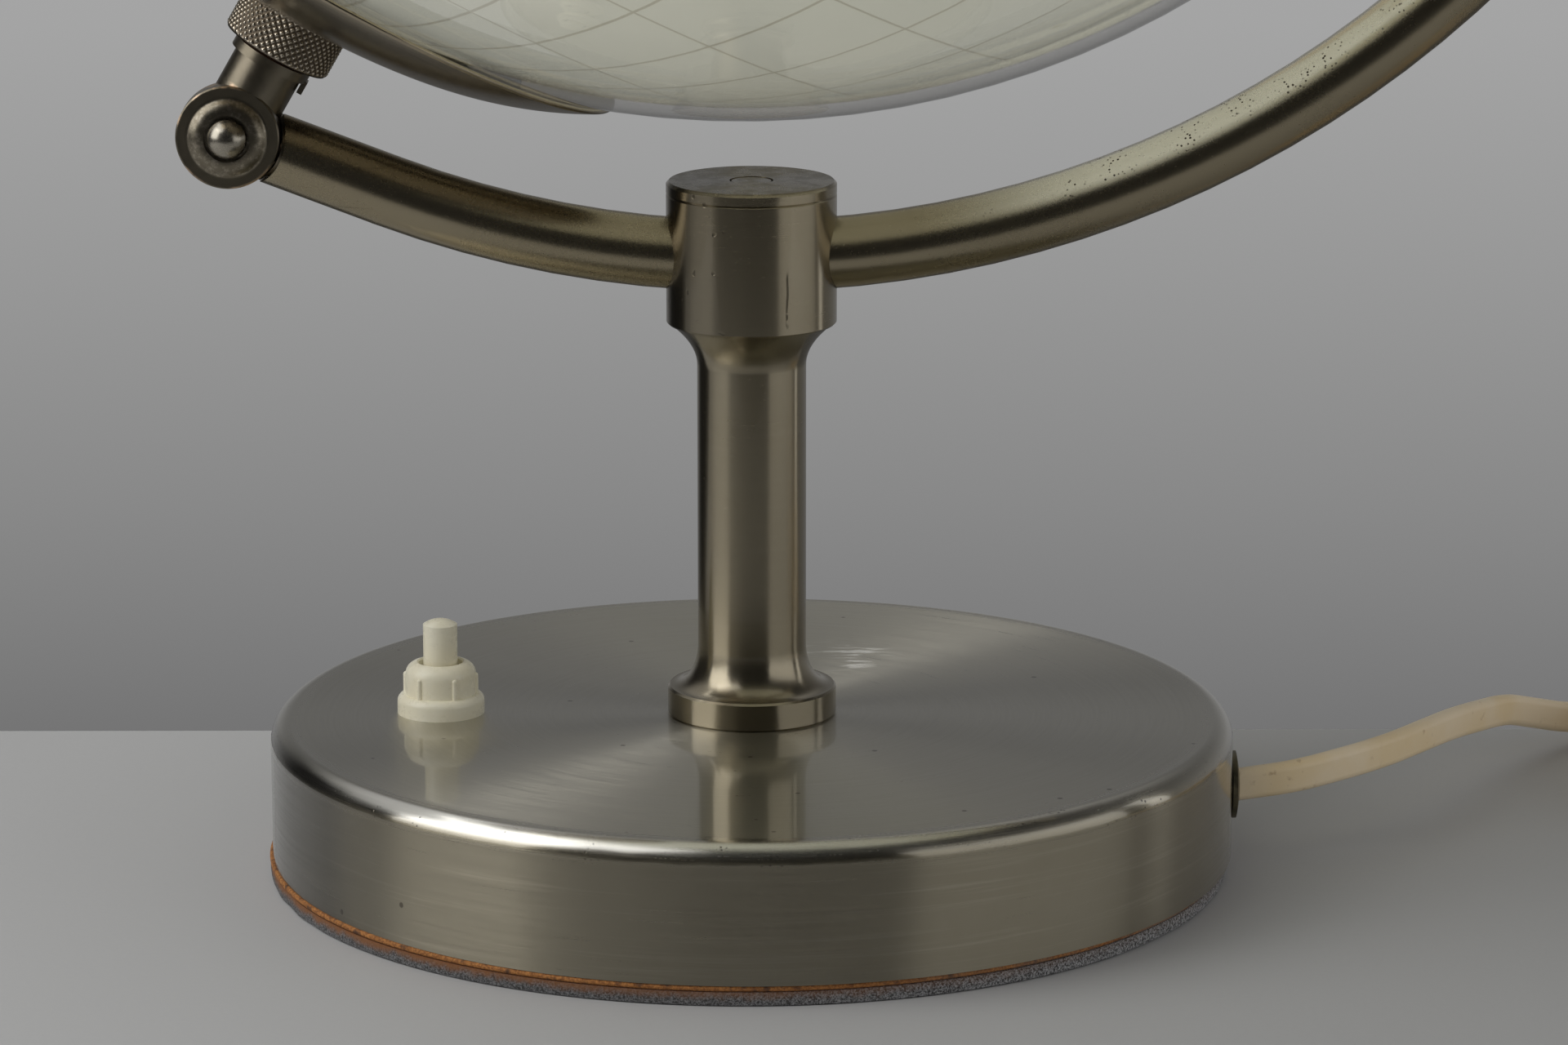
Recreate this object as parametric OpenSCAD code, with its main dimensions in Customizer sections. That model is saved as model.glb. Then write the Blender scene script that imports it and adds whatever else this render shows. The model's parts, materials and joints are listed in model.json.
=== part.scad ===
// Illuminated globe: a glass ball on a bent tube arm, on a weighted round stand.
// Millimetres. Origin at the middle of the foot, X to the right, Y away, Z up.
// The arm lies in the XZ plane, and the ball's axis leans in that plane.

/* [Base] */
// Diameter of the base shell
base_d = 190; // [176:1:204]
// Height of the shell's flat top above the table
base_top = 30.7; // [29:0.1:36]
// Sheet thickness of the shell
shell_wall = 1.2; // [0.9:0.1:1.6]
// Radius of the shell's rounded top edge
edge_r = 4; // [2:0.5:6]
// Thickness of the felt pad
felt_t = 2.8; // [2.6:0.1:4]
// Thickness of the steel bottom plate
plate_t = 1.2; // [1:0.1:1.6]
// How far plate and felt sit off centre
pad_shift = 0.8; // [0:0.1:1]
// Thickness of the ballast weight's disc
ballast_t = 8; // [7:0.5:9]
// Radius of the ballast weight's middle boss
boss_r = 16; // [14:0.5:18]
// Gap between the ballast weight and the shell's side
ballast_gap = 3; // [1:0.5:5]

/* [Column and hub] */
// Radius of the column's bottom flange
flange_r = 16.6; // [16:0.1:18]
// Height of the flange
flange_h = 5.7; // [4:0.1:7]
// Radius of the column
col_r = 10.65; // [9.5:0.05:12]
// Height of the column from the base to the hub
col_h = 78.5; // [70:0.5:88]
// Height of the flare above the flange
flare_low_h = 8.3; // [6:0.1:10]
// Height of the flare under the hub
flare_top_h = 8.4; // [7:0.1:10]
// Radius of the flare where it meets the hub
flare_top_r = 15.9; // [14:0.1:16.2]
// Radius of the hub
hub_r = 16.6; // [16:0.1:18]
// Height of the hub
hub_h = 28; // [26:0.5:32]
// Height of the arm's centreline above the hub's underside
arm_seat = 13.1; // [12:0.1:14]
// Radius of the threaded tie tube
tie_r = 5; // [4.5:0.1:5.5]
// Bore radius of the tie tube and of the lamp tube
tie_bore_r = 3.5; // [3.2:0.1:3.8]

/* [Arm] */
// Radius of the arm tube
arm_tube_r = 7; // [6.5:0.1:7.6]
// Wall of the arm tube
arm_wall = 1.5; // [1:0.1:2]
// Length of the straight run from the arc to the pivot
arm_run = 32; // [28:0.5:36]
// Thickness of the slotted tongue at the arm's upper end
tongue_t = 8; // [7:0.5:9]
// Distance from the ball's axis to the end of the tube there
tongue_reach = 14; // [12:0.5:18]

/* [Joint] */
// Radius of the front joint disc
disc_r = 10; // [9:0.1:11]
// Depth from the arm's mid plane to the disc's rim face
disc_y = 7; // [6.5:0.1:8]
// Radius of the rear joint disc
rear_disc_r = 8.2; // [8:0.1:8.8]
// Radius of the pivot bolt
bolt_r = 2.5; // [2:0.1:2.8]
// Radius of the bolt's domed head
dome_r = 3.9; // [3.4:0.1:4.1]
// Half of the gap between the two joint discs
half_gap = 0.35; // [0.3:0.05:0.5]
// Gap between the front disc and the end of the arm tube
cope_gap = 1.1; // [0.8:0.1:1.5]

/* [Ball] */
// Outer diameter of the glass ball
globe_d = 335.4; // [320:0.2:350]
// Wall of the clear glass
glass_t = 2.5; // [2:0.1:3]
// Thickness of the opal map layer inside the glass
map_t = 0.75; // [0.5:0.05:1]
// Lean of the axis from the vertical
axis_tilt = 30; // [28:0.5:32]
// Radius of the glass's lower opening
open_r = 34; // [32.5:0.5:36]
// Rise of the dish's outer face over the glass
dish_rise = 3.6; // [3.4:0.1:5]
// Sheet thickness of the dish
dish_t = 1; // [0.8:0.1:1.2]
// Angle from the pole to the dish's rim
dish_angle = 21.5; // [20:0.1:23]
// Angle from the pole at which the dish starts to draw in
dish_bend = 12; // [10:0.5:15]

/* [Axis fittings] */
// Radius of the knurled collar
collar_r = 11; // [10:0.1:12]
// Height of the knurled collar
collar_h = 8.8; // [8:0.1:9.5]
// Thickness of the fibre washer that carries the ball
thrust_t = 0.7; // [0.5:0.1:1]
// Radius of the tab washer
tab_r = 8.05; // [7.8:0.05:8.6]
// Thickness of the tab washer
tab_t = 2; // [1.6:0.1:2.4]
// Radius of the neck
neck_r = 7; // [6.5:0.1:7.4]
// Length from the neck's top to the pivot
neck_l = 15.6; // [15:0.1:17]
// Radius of the threaded bush in the ball
bush_r = 7; // [6.5:0.1:7.4]
// Half length of the clamp bar inside the ball
bar_half = 42; // [39:0.5:45]
// Radius of the upper axle
axle_r = 3; // [2.5:0.1:3.3]
// Radius of the upper cap
cap_r = 24; // [20:0.5:28]

/* [Lamp] */
// Radius of the bulb
bulb_r = 30; // [27:0.5:32]
// Radius of the lamp holder
holder_r = 15.5; // [15:0.1:18]
// Length of the lamp holder
holder_h = 26; // [24:0.5:30]

/* [Switch] */
// Distance of the switch from the column's axis
switch_x = 61.5; // [56:0.5:66]
// Radius of the cream nut's foot
nut_foot_r = 8.6; // [8.2:0.1:9.2]
// Height of the nut's foot
nut_foot_h = 3.9; // [3:0.1:4.5]
// Radius of the nut's ribbed body
nut_r = 7; // [6.8:0.1:7.6]
// Height of the nut
nut_h = 10.3; // [9:0.1:12]
// Radius of the hole in the nut's top
nut_hole_r = 4.35; // [4:0.05:4.6]
// Number of grip ribs on the nut
rib_count = 6; // [4:1:9]
// Radius of the push button
button_r = 3.38; // [3:0.02:3.5]
// Height of the button above the nut
button_out = 8.6; // [7:0.1:10]
// Travel of the button
button_travel = 3; // [2:0.1:3]

/* [Cord] */
// Width of the flat cord
cord_w = 6.4; // [5.6:0.1:6.6]
// Thickness of the flat cord
cord_t = 3.8; // [3.2:0.1:3.9]
// Height of the cord's outlet above the table
cord_z = 15.5; // [15.4:0.1:18]
// Radius of the outlet's disc
grommet_r = 6.7; // [6.3:0.1:7.5]
// Distance between turns of the coil
coil_pitch = 4.5; // [4.4:0.05:5]
// Radius of the coil's innermost half turn
coil_in_r = 26; // [25:0.5:27]

/* [Hidden] */

$fn = 96;
eps = 0.01;
fit = 0.05;      // running and screwed fits, on the radius
seat = 0.05;     // gap where one piece seats on another
air = 0.3;       // room between curved faces of different bodies
drill = 0.2;     // room round a bolt or a tube in a plain hole

nickel = [0.62, 0.6, 0.55];
steel = [0.55, 0.56, 0.58];
iron = [0.3, 0.29, 0.28];
brass = [0.72, 0.58, 0.32];
cream = [0.87, 0.84, 0.74];
cord_cream = [0.8, 0.74, 0.6];
fibre = [0.35, 0.18, 0.12];
rubber = [0.12, 0.12, 0.12];

base_r = base_d / 2;
shell_z = felt_t + plate_t;
shell_top_in = base_top - shell_wall;
ballast_r = base_r - shell_wall - ballast_gap;
ballast_top = shell_z + ballast_t;

hub_z = base_top + col_h;
hub_top = hub_z + hub_h;
tie_low = shell_z + 0.8;
nut_t = 3;
washer_t = 1.5;
tie_recess_h = ballast_t - 2;
tie_recess_r = 11;
tie_top_room = 0.8;

globe_r = globe_d / 2;
glass_in_r = globe_r - glass_t;
map_out_r = glass_in_r - seat;
map_in_r = map_out_r - map_t;
dish_out_r = globe_r + dish_rise;
collar_top_s = dish_out_r + seat;
collar_low_s = collar_top_s + collar_h;
thrust_low_s = collar_low_s + seat + thrust_t;
tab_low_s = thrust_low_s + seat + tab_t;
neck_top_s = tab_low_s;
pivot_s = neck_top_s + neck_l;

arm_grow = 0.4;                 // the arm's radius over the pivot's distance
arm_r = pivot_s + arm_grow;
arm_far = sqrt(arm_r * arm_r + arm_run * arm_run);
arm_low = hub_z + arm_seat;
arm_c = [0, 0, arm_low + arm_r];
axis_dir = [sin(axis_tilt), 0, cos(axis_tilt)];
globe_c = arm_c - (arm_far - pivot_s) * axis_dir;
pivot = globe_c - pivot_s * axis_dir;
arm_bore_r = arm_tube_r - arm_wall;
run_turn = atan2(arm_run, arm_r);
arm_start = 270 - axis_tilt + run_turn;          // arc angles, from +X towards +Z
tip_back = atan2(tongue_reach, arm_r);
arm_stop = 450 - axis_tilt - tip_back;
arm_tip_s = arm_far - pivot_s + arm_r;           // tube's centreline on the ball's axis

collar_room = 0.5;
tube_in_neck = 4.5;
bush_head_r = 12;
bush_head_t = 2.1;
bar_t = 2;
bar_w = 18;
bar_corner = norm([bar_half, bar_w / 2]);
bar_low_s = sqrt(map_in_r * map_in_r - bar_corner * bar_corner) - 0.5;
bar_top_s = bar_low_s - bar_t;
bush_top_s = bar_top_s - seat - bush_head_t;
lamp_nut_t = 2.5;
holder_low_s = bush_top_s - 1.4 - lamp_nut_t - seat;
holder_top_s = holder_low_s - holder_h;
lamp_tube_top_s = holder_low_s - 4;
bulb_cap_r = 13;
bulb_cap_top_s = holder_top_s - 2;
bulb_mid_s = bulb_cap_top_s - bulb_r - 10;

tongue_low_s = arm_tip_s - tongue_t / 2;
tongue_top_s = arm_tip_s + tongue_t / 2;
end_play = 0.5;
slot_room = 0.2;

nut_top = base_top + nut_h;
switch_neck_r = 5.2;
switch_neck_top = base_top + nut_h - 3.2;
switch_body_r = 11;
switch_body_low = ballast_top + 1.5;
switch_cavity_r = 5.4;
switch_cavity_top = shell_top_in - seat - 1.2;
button_foot_t = 1.4;
button_foot_top = switch_cavity_top - 0.1;
button_foot_low = button_foot_top - button_foot_t;
spring_shut_l = 8.05;           // the spring's length with the button pressed
switch_floor = button_foot_low - button_travel - spring_shut_l;
spring_wire_r = 0.3;
spring_mid_r = 3.2;
spring_turns = 5;

outlet_nut_r = 6.2;
outlet_notch_l = 5;
cord_half_w = cord_w / 2;
cord_half_t = cord_t / 2;
exit_x = base_r + 1.7;
boss_hole_z = ballast_top + 5.5;
wire_r = 1.2;
wire_y = 1.35;

// The cord's route, chosen by hand: from the outlet, down to the table, to the coil.
cord_route = [[96.7, 0, 15.5], [100.4, 0.4, 15.9], [105.3, 1.5, 16.3], [110.4, 3.7, 16.7],
    [116.4, 7.4, 17.2], [122.7, 13.1, 17.3], [129.3, 21.3, 17], [136.3, 31.7, 16.6],
    [143.5, 43.8, 15.7], [150.9, 56.7, 14], [158.5, 69, 12], [164.8, 76.7, 9.3],
    [172.5, 83.2, 6.6], [183, 89.6, 4.7], [194.5, 93.2, 3.5], [206, 94, 3.2], [216, 94, 3.2]];
coil_c = [223, 50];
coil_straight = 7;
tail_route = [[265.9, 43, 10.2], [265.85, 38, 10.1], [265.6, 31, 9.5], [265.3, 24, 8.2],
    [265.1, 18, 7.2], [265, 13, 7]];
// The wires' ways inside the base, chosen by hand: round the boss, and down to its cross hole
lead_route = [[52, -14], [25, -30], [-15, -34], [-40, -26], [-38, 0]];
feed_x = [40, -30];
plug_x = 265;
plug_z = 7;
plug_y = 13;
sleeve_l = 21;                  // the plug's tapered sleeve
plug_t = 13.6;
plug_w = 25;
plug_l = 35;
pin_r = 2;
pin_l = 19;
pin_gap = 18.6;
pin_root = 8;                   // how deep the pins sit in the plug
pin_y = plug_y - sleeve_l - plug_l + pin_root;

// Puts children in the ball's axis frame: Z along the axis to the north, from the ball's middle
module on_axis(s = 0) {
    translate(globe_c) rotate([0, axis_tilt, 0]) translate([0, 0, s]) children();
}

// Same frame, but at a distance towards the south pole
module south(s) {
    on_axis(-s) children();
}

// Turns the XY plane into the arm's plane, round the arm's middle
module arm_plane() {
    translate(arm_c) rotate([90, 0, 0]) children();
}

// Frame at the pivot: Z along the pivot's axis to the back, X down the arm
module at_pivot() {
    translate(pivot) rotate([-90, 0, 0]) children();
}

// Frame at the pivot whose Z runs down the arm's straight end
module down_run() {
    translate(pivot) rotate([0, 90 + axis_tilt - run_turn, 0]) children();
}

module ring(r_out, r_in, h) {
    difference() {
        cylinder(r = r_out, h = h);
        translate([0, 0, -1]) cylinder(r = r_in, h = h + 2);
    }
}

// A round bar along Z with both ends chamfered
module barrel(r, h, c) {
    rotate_extrude() polygon([[0, 0], [r - c, 0], [r, c], [r, h - c], [r - c, h], [0, h]]);
}

// Points of an arc in the plane, from angle a to angle b
function arc(c, r, a, b, n) = [for (i = [0:n]) let(t = a + (b - a) * i / n)
    [c[0] + r * cos(t), c[1] + r * sin(t)]];

// A concave flare: a quarter of an ellipse from (r0, z0) to (r1, z1)
function flare(r0, z0, r1, z1, n = 16) = [for (i = [0:n]) let(t = 90 * i / n)
    [r0 + (r1 - r0) * sin(t), z0 + (z1 - z0) * (1 - cos(t))]];

// A domed bar end that stands on Z, with the rim at height h
function dome_points(r, h, rise, n = 10) = let(rr = (r * r + rise * rise) / (2 * rise))
    [for (i = [0:n]) let(t = asin(r / rr) * (1 - i / n)) [rr * sin(t), h + rise - rr + rr * cos(t)]];

module domed_bar(r, h, rise) {
    rotate_extrude() polygon(concat([[0, 0], [r, 0]], dome_points(r, h, rise)));
}

module hexagon(across, h) {
    cylinder(r = across / 2 / cos(30), h = h, $fn = 6);
}

// Section of the flat cord: thickness first, width second
function cord_section() = [[cord_half_t, -0.65 * cord_half_w], [cord_half_t, 0.65 * cord_half_w],
    [0.5 * cord_half_t, cord_half_w], [-0.5 * cord_half_t, cord_half_w],
    [-cord_half_t, 0.65 * cord_half_w], [-cord_half_t, -0.65 * cord_half_w],
    [-0.5 * cord_half_t, -cord_half_w], [0.5 * cord_half_t, -cord_half_w]];
function coil_section() = [[cord_half_t, -0.62 * cord_half_w], [cord_half_t, 0.62 * cord_half_w],
    [0, cord_half_w], [-cord_half_t, 0.62 * cord_half_w], [-cord_half_t, -0.62 * cord_half_w],
    [0, -cord_half_w]];
function round_section(r, n) = [for (i = [0:n - 1]) [r * cos(360 * i / n), r * sin(360 * i / n)]];

// Sweeps a closed section along points as one skin, its second coordinate kept upright
function unit(v) = v / norm(v);
function heading(p, i) = let(n = len(p) - 1)
    unit(i == 0 ? p[1] - p[0] : i == n ? p[n] - p[n - 1] : p[i + 1] - p[i - 1]);
function lift(d, s, up) = let(side = unit(cross(d, up)), top = cross(side, d))
    s[0] * side + s[1] * top;

module sweep(p, sec, up = [0, 0, 1], first = [0, 0, 0], last = [0, 0, 0]) {
    m = len(sec);
    n = len(p) - 1;
    points = [for (i = [0:n]) let(d = i == 0 && norm(first) > 0 ? first
        : i == n && norm(last) > 0 ? last : heading(p, i)) for (s = sec) p[i] + lift(d, s, up)];
    sides = [for (i = [0:n - 1]) for (j = [0:m - 1]) let(k = (j + 1) % m)
        each [[i * m + j, i * m + k, (i + 1) * m + k], [i * m + j, (i + 1) * m + k, (i + 1) * m + j]]];
    caps = [for (j = [1:m - 2]) each [[0, j + 1, j], [n * m, n * m + j, n * m + j + 1]]];
    polyhedron(points = points, faces = concat(sides, caps));
}

// Corners of a path eased by two points a short way before and after each
function eased(p, e) = concat([p[0]], [for (i = [1:len(p) - 2])
    let(back = unit(p[i - 1] - p[i]), on = unit(p[i + 1] - p[i]))
        each [p[i] + e * back, p[i] + 0.25 * e * (back + on), p[i] + e * on]], [p[len(p) - 1]]);

module felt_pad() color([0.46, 0.46, 0.45]) difference() {
    translate([-pad_shift, 0, 0]) cylinder(r = base_r - 0.2, h = felt_t, $fn = 180);
    screw_places() translate([0, 0, felt_t - screw_head_h - 0.1])
        cylinder(r = screw_head_r + 0.4, h = screw_head_h + 1);
}

screw_head_h = 2.2;
screw_head_r = 4;
screw_r = 2;
screw_ring = 66;

module screw_places() {
    for (a = [30, 150, 270]) rotate(a) translate([screw_ring, 0, 0]) children();
}

module bottom_plate() color([0.5, 0.28, 0.12]) difference() {
    translate([-pad_shift, 0, felt_t]) cylinder(r = base_r - 0.2, h = plate_t, $fn = 180);
    screw_places() translate([0, 0, felt_t - 1]) cylinder(r = screw_r + drill, h = plate_t + 2);
}

module bottom_screws() color(steel) screw_places() {
    translate([0, 0, felt_t - screw_head_h]) barrel(screw_head_r, screw_head_h, 0.4);
    translate([0, 0, felt_t - eps]) cylinder(r = screw_r, h = plate_t + 5);
}

module ballast_weight() color(iron) difference() {
    union() {
        translate([0, 0, shell_z]) barrel(ballast_r, ballast_t, 1);
        translate([0, 0, ballast_top - eps]) cylinder(r = boss_r, h = shell_top_in - ballast_top + eps);
    }
    translate([0, 0, shell_z - 1]) cylinder(r = tie_r + drill, h = base_top);
    translate([0, 0, shell_z - 1]) cylinder(r = tie_recess_r, h = tie_recess_h + 1);
    screw_places() translate([0, 0, shell_z - 1]) cylinder(r = screw_r + fit, h = ballast_t - 1);
    translate([0, 0, boss_hole_z]) rotate([0, 90, 0])
        translate([0, 0, -boss_r - 1]) cylinder(r = 2 * wire_r + 0.8, h = 2 * boss_r + 2);
    clamp_screw_places() translate([0, 0, ballast_top - 5.2]) cylinder(r = 1.5 + fit, h = 7);
    translate([ballast_r - outlet_notch_l, 0, cord_z]) rotate([0, 90, 0])
        cylinder(r = outlet_nut_r + 0.8, h = outlet_notch_l + 1);
}

function shell_profile(r, top, low, e) = concat([[0, top]],
    [for (p = arc([r - e, top - e], e, 90, 0, 12)) p], [[r, low]]);

module base_shell() color(nickel) difference() {
    rotate_extrude($fn = 180) polygon(concat(shell_profile(base_r, base_top, shell_z, edge_r),
        [for (i = [14:-1:0]) shell_profile(base_r - shell_wall, shell_top_in, shell_z,
            max(edge_r - shell_wall, 0.5))[i]]));
    translate([0, 0, shell_top_in - 1]) cylinder(r = tie_r + drill, h = shell_wall + 2);
    translate([-switch_x, 0, shell_top_in - 1]) cylinder(r = switch_neck_r + drill, h = shell_wall + 2);
    translate([base_r - shell_wall - 4, 0, cord_z]) rotate([0, 90, 0]) cylinder(r = sleeve_r + 0.1, h = 10);
}

module tie_tube() color(steel) difference() {
    translate([0, 0, tie_low]) cylinder(r = tie_r, h = arm_low - arm_tube_r - tie_top_room - tie_low);
    translate([0, 0, tie_low - 1]) cylinder(r = tie_bore_r, h = hub_top);
    translate([-tie_r - 1, 0, boss_hole_z]) rotate([0, 90, 0])
        cylinder(r = 2 * wire_r + 0.4, h = 2 * tie_r + 2);
}

module tie_nut() color(steel) difference() {
    translate([0, 0, shell_z + tie_recess_h - washer_t - 2 * seat - nut_t]) hexagon(14, nut_t);
    translate([0, 0, shell_z]) cylinder(r = tie_r + fit, h = ballast_t);
}

module tie_washer() color(steel)
    translate([0, 0, shell_z + tie_recess_h - washer_t - seat])
        ring(tie_recess_r - 1, tie_r + drill, washer_t);

module column() color(nickel) difference() {
    rotate_extrude() polygon(concat([[0, base_top], [flange_r - 0.4, base_top],
        [flange_r, base_top + 0.4], [flange_r, base_top + flange_h - 0.4],
        [flange_r - 0.4, base_top + flange_h]],
        flare(flange_r - 0.7, base_top + flange_h, col_r, base_top + flange_h + flare_low_h),
        [for (t = [0:1/16:1]) [col_r + (flare_top_r - col_r) * t * t, hub_z - flare_top_h * (1 - t)]],
        [[0, hub_z]]));
    translate([0, 0, base_top - 1]) cylinder(r = tie_r + drill, h = col_h + 2);
}

plug_r = 4.1;
plug_h = 2.2;
set_screw_r = 3;
scribe_drop = 2.5;
scribe_d = 0.25;

module hub() color(nickel) difference() {
    rotate_extrude() polygon([[0, hub_z], [hub_r - 0.35, hub_z], [hub_r, hub_z + 0.35],
        [hub_r, hub_top - scribe_drop - scribe_d], [hub_r - scribe_d, hub_top - scribe_drop],
        [hub_r, hub_top - scribe_drop + scribe_d], [hub_r, hub_top - 0.6], [hub_r - 0.6, hub_top],
        [0, hub_top]]);
    arm_plane() rotate([0, 0, 262]) rotate_extrude(angle = 16, $fn = 256)
        translate([arm_r, 0]) circle(r = arm_tube_r + 0.08);
    translate([0, 0, hub_z - 1]) cylinder(r = tie_r + fit, h = arm_seat - arm_tube_r + 2);
    translate([0, 0, arm_low]) cylinder(r = set_screw_r + fit, h = hub_h);
    translate([0, 0, hub_top - plug_h - 0.1]) cylinder(r = plug_r + 0.15, h = 5);
}

module arm_set_screw() color(steel)
    translate([0, 0, arm_low + arm_tube_r + 0.15]) barrel(set_screw_r, 4, 0.5);

module hub_plug() color(nickel)
    translate([0, 0, hub_top - plug_h]) barrel(plug_r, plug_h - 0.1, 0.25);

module tube_section() difference() {
    circle(r = arm_tube_r, $fn = 64);
    circle(r = arm_bore_r, $fn = 64);
}

module meridian_arm() color(nickel) {
    difference() {
        arm_plane() rotate([0, 0, arm_start]) rotate_extrude(angle = arm_stop - arm_start, $fn = 256)
            translate([arm_r, 0]) tube_section();
        translate([0, 0, arm_low - arm_tube_r - 1]) cylinder(r = tie_bore_r, h = arm_tube_r);
    }
    difference() {
        down_run() linear_extrude(arm_run - eps) tube_section();
        at_pivot() translate([0, 0, -20]) cylinder(r = disc_r + cope_gap, h = 40);
    }
    down_run() translate([0, 0, arm_run - 0.5]) ring(arm_tube_r + 2 * eps, arm_bore_r - 2 * eps, 1);
}

// Frame at the tube's upper end: Z out of the tube's end
module tube_end() {
    arm_plane() rotate([0, 0, arm_stop]) translate([arm_r, 0, 0]) rotate([-90, 0, 0]) children();
}

tongue_half = axle_r + slot_room + 3.8;

module arm_tip() color(nickel) difference() {
    union() {
        tube_end() translate([0, 0, -10]) cylinder(r = arm_bore_r - 0.15, h = 11);
        tube_end() translate([0, 0, seat]) cylinder(r = arm_tube_r, h = 4);
        on_axis(tongue_low_s) linear_extrude(tongue_t) {
            circle(r = tongue_half);
            translate([0, -tongue_half]) square([tongue_reach - 2, 2 * tongue_half]);
        }
    }
    on_axis(tongue_low_s - 5) linear_extrude(tongue_t + 10) {
        circle(r = axle_r + slot_room);
        translate([-20, -axle_r - slot_room]) square([20, 2 * (axle_r + slot_room)]);
    }
}

cavity_in = bolt_r + 0.9;
cavity_out = 6;
cavity_y = 4.4;

module joint_arm_half() color(nickel) difference() {
    union() {
        at_pivot() translate([0, 0, half_gap]) barrel(rear_disc_r, disc_y - half_gap, 0.5);
        difference() {
            union() {
                intersection() {
                    down_run() cylinder(r = arm_tube_r - 0.1, h = disc_r + cope_gap);
                    at_pivot() translate([0, 0, half_gap]) cylinder(r = disc_r + cope_gap - 0.1, h = 30);
                }
                down_run() cylinder(r = arm_bore_r - 0.1, h = 24);
            }
            south(pivot_s) cylinder(r = neck_r + air, h = 30);
        }
    }
    at_pivot() translate([0, 0, -20]) cylinder(r = disc_r + 0.5, h = 20 + half_gap);
    at_pivot() translate([0, 0, half_gap - 1]) ring(cavity_out, cavity_in, cavity_y + 1);
    at_pivot() translate([0, 0, -1]) cylinder(r = bolt_r + fit, h = 30);
    down_run() translate([0, 0, cavity_out - 1]) cylinder(r = 2.4, h = 30);
}

module joint_neck_half() color(nickel) difference() {
    union() {
        at_pivot() rotate([180, 0, 0]) translate([0, 0, half_gap]) rotate_extrude() polygon(concat(
            [[0, 0], [disc_r - 0.4, 0], [disc_r, 0.4], [disc_r, disc_y - half_gap - 0.3],
            [disc_r - 0.3, disc_y - half_gap], [disc_r - 2.1, disc_y - half_gap]],
            arc([disc_r - 5.3, disc_y - half_gap - 2.2], 3.6, 40, 90, 6), [[0, disc_y - half_gap + 1.4]]));
        south(pivot_s - 1) cylinder(r = neck_r, h = neck_l - 1);
    }
    at_pivot() translate([0, 0, -half_gap]) cylinder(r = rear_disc_r + air, h = 30);
    at_pivot() rotate([180, 0, 0]) translate([0, 0, disc_y + 0.4]) cylinder(r = dome_r + 0.6, h = 5);
    at_pivot() translate([0, 0, -half_gap - cavity_y]) ring(cavity_out, cavity_in, cavity_y + 1);
    at_pivot() translate([0, 0, -20]) cylinder(r = bolt_r + fit, h = 30);
    south(neck_top_s + tube_in_neck + seat) cylinder(r = tie_r + fit, h = 20);
    south(pivot_s - cavity_out + 1) cylinder(r = 2.2, h = 20);
}

module pivot_bolt() color(steel) {
    at_pivot() translate([0, 0, -disc_y - 0.6]) cylinder(r = bolt_r, h = 2 * disc_y + 3.6);
    at_pivot() rotate([180, 0, 0]) translate([0, 0, disc_y + 0.5]) domed_bar(dome_r, 1, 2.8);
}

module pivot_nut() color(steel) difference() {
    at_pivot() translate([0, 0, disc_y + seat]) domed_bar(4.4, 2, 2.4);
    at_pivot() translate([0, 0, disc_y - 1]) cylinder(r = bolt_r + fit, h = 4.2);
}

module joint_washer() color(fibre)
    at_pivot() translate([0, 0, seat - half_gap]) ring(rear_disc_r - 0.2, cavity_out + 0.2,
        2 * (half_gap - seat));

module tab_washer() color(nickel) {
    south(tab_low_s - seat) ring(tab_r, tie_r + drill, tab_t - seat);
    south(tab_low_s + 2.2) translate([neck_r + air, -1.6, 0]) cube([tab_r - neck_r - air + 0.3, 3.2, 2.7]);
}

module thrust_washer() color(fibre)
    south(thrust_low_s) ring(tie_r + 1.5, tie_r + fit, thrust_t);

module lamp_tube() color(steel)
    south(neck_top_s + tube_in_neck) ring(tie_r, tie_bore_r, neck_top_s + tube_in_neck - lamp_tube_top_s);

module holder_nut() color(steel) difference() {
    south(holder_low_s + seat + lamp_nut_t) hexagon(14, lamp_nut_t);
    south(holder_low_s + 10) cylinder(r = tie_r + fit, h = 20);
}

module lamp_holder() color([0.12, 0.1, 0.09]) difference() {
    south(holder_low_s) barrel(holder_r, holder_h, 1.5);
    south(holder_low_s - 6) cylinder(r = bulb_cap_r + 0.3, h = holder_h);
    south(holder_low_s + 1) cylinder(r = tie_r + fit, h = 10);
}

module bulb_cap() color(brass)
    south(holder_low_s - 6.3) barrel(bulb_cap_r, holder_low_s - 6.3 - bulb_cap_top_s, 1);

module bulb_shape(r, w) {
    neck = bulb_cap_r - 0.6 - w;
    low = asin(neck / r);
    foot = bulb_mid_s - bulb_cap_top_s + w;
    rotate_extrude() polygon(concat([[0, foot], [neck, foot]],
        [for (p = arc([0, 0], r, -90 + low + 22, 90, 24)) p]));
}

module bulb_glass() color([0.95, 0.95, 0.92]) south(bulb_mid_s) difference() {
    bulb_shape(bulb_r, 0);
    bulb_shape(bulb_r - 1, 1);
}

module glass_ball() color([0.8, 0.86, 0.82]) difference() {
    on_axis() sphere(r = globe_r, $fn = 256);
    on_axis() sphere(r = glass_in_r, $fn = 256);
    south(globe_r + 10) cylinder(r = open_r, h = 40);
    on_axis(globe_r - 20) cylinder(r = axle_r + 3.5, h = 40);
}

module map_layer() color([0.84, 0.87, 0.78]) difference() {
    on_axis() sphere(r = map_out_r, $fn = 256);
    on_axis() sphere(r = map_in_r, $fn = 256);
    south(globe_r + 10) cylinder(r = open_r, h = 40);
    on_axis(globe_r - 20) cylinder(r = axle_r + 3.5, h = 40);
}

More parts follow.
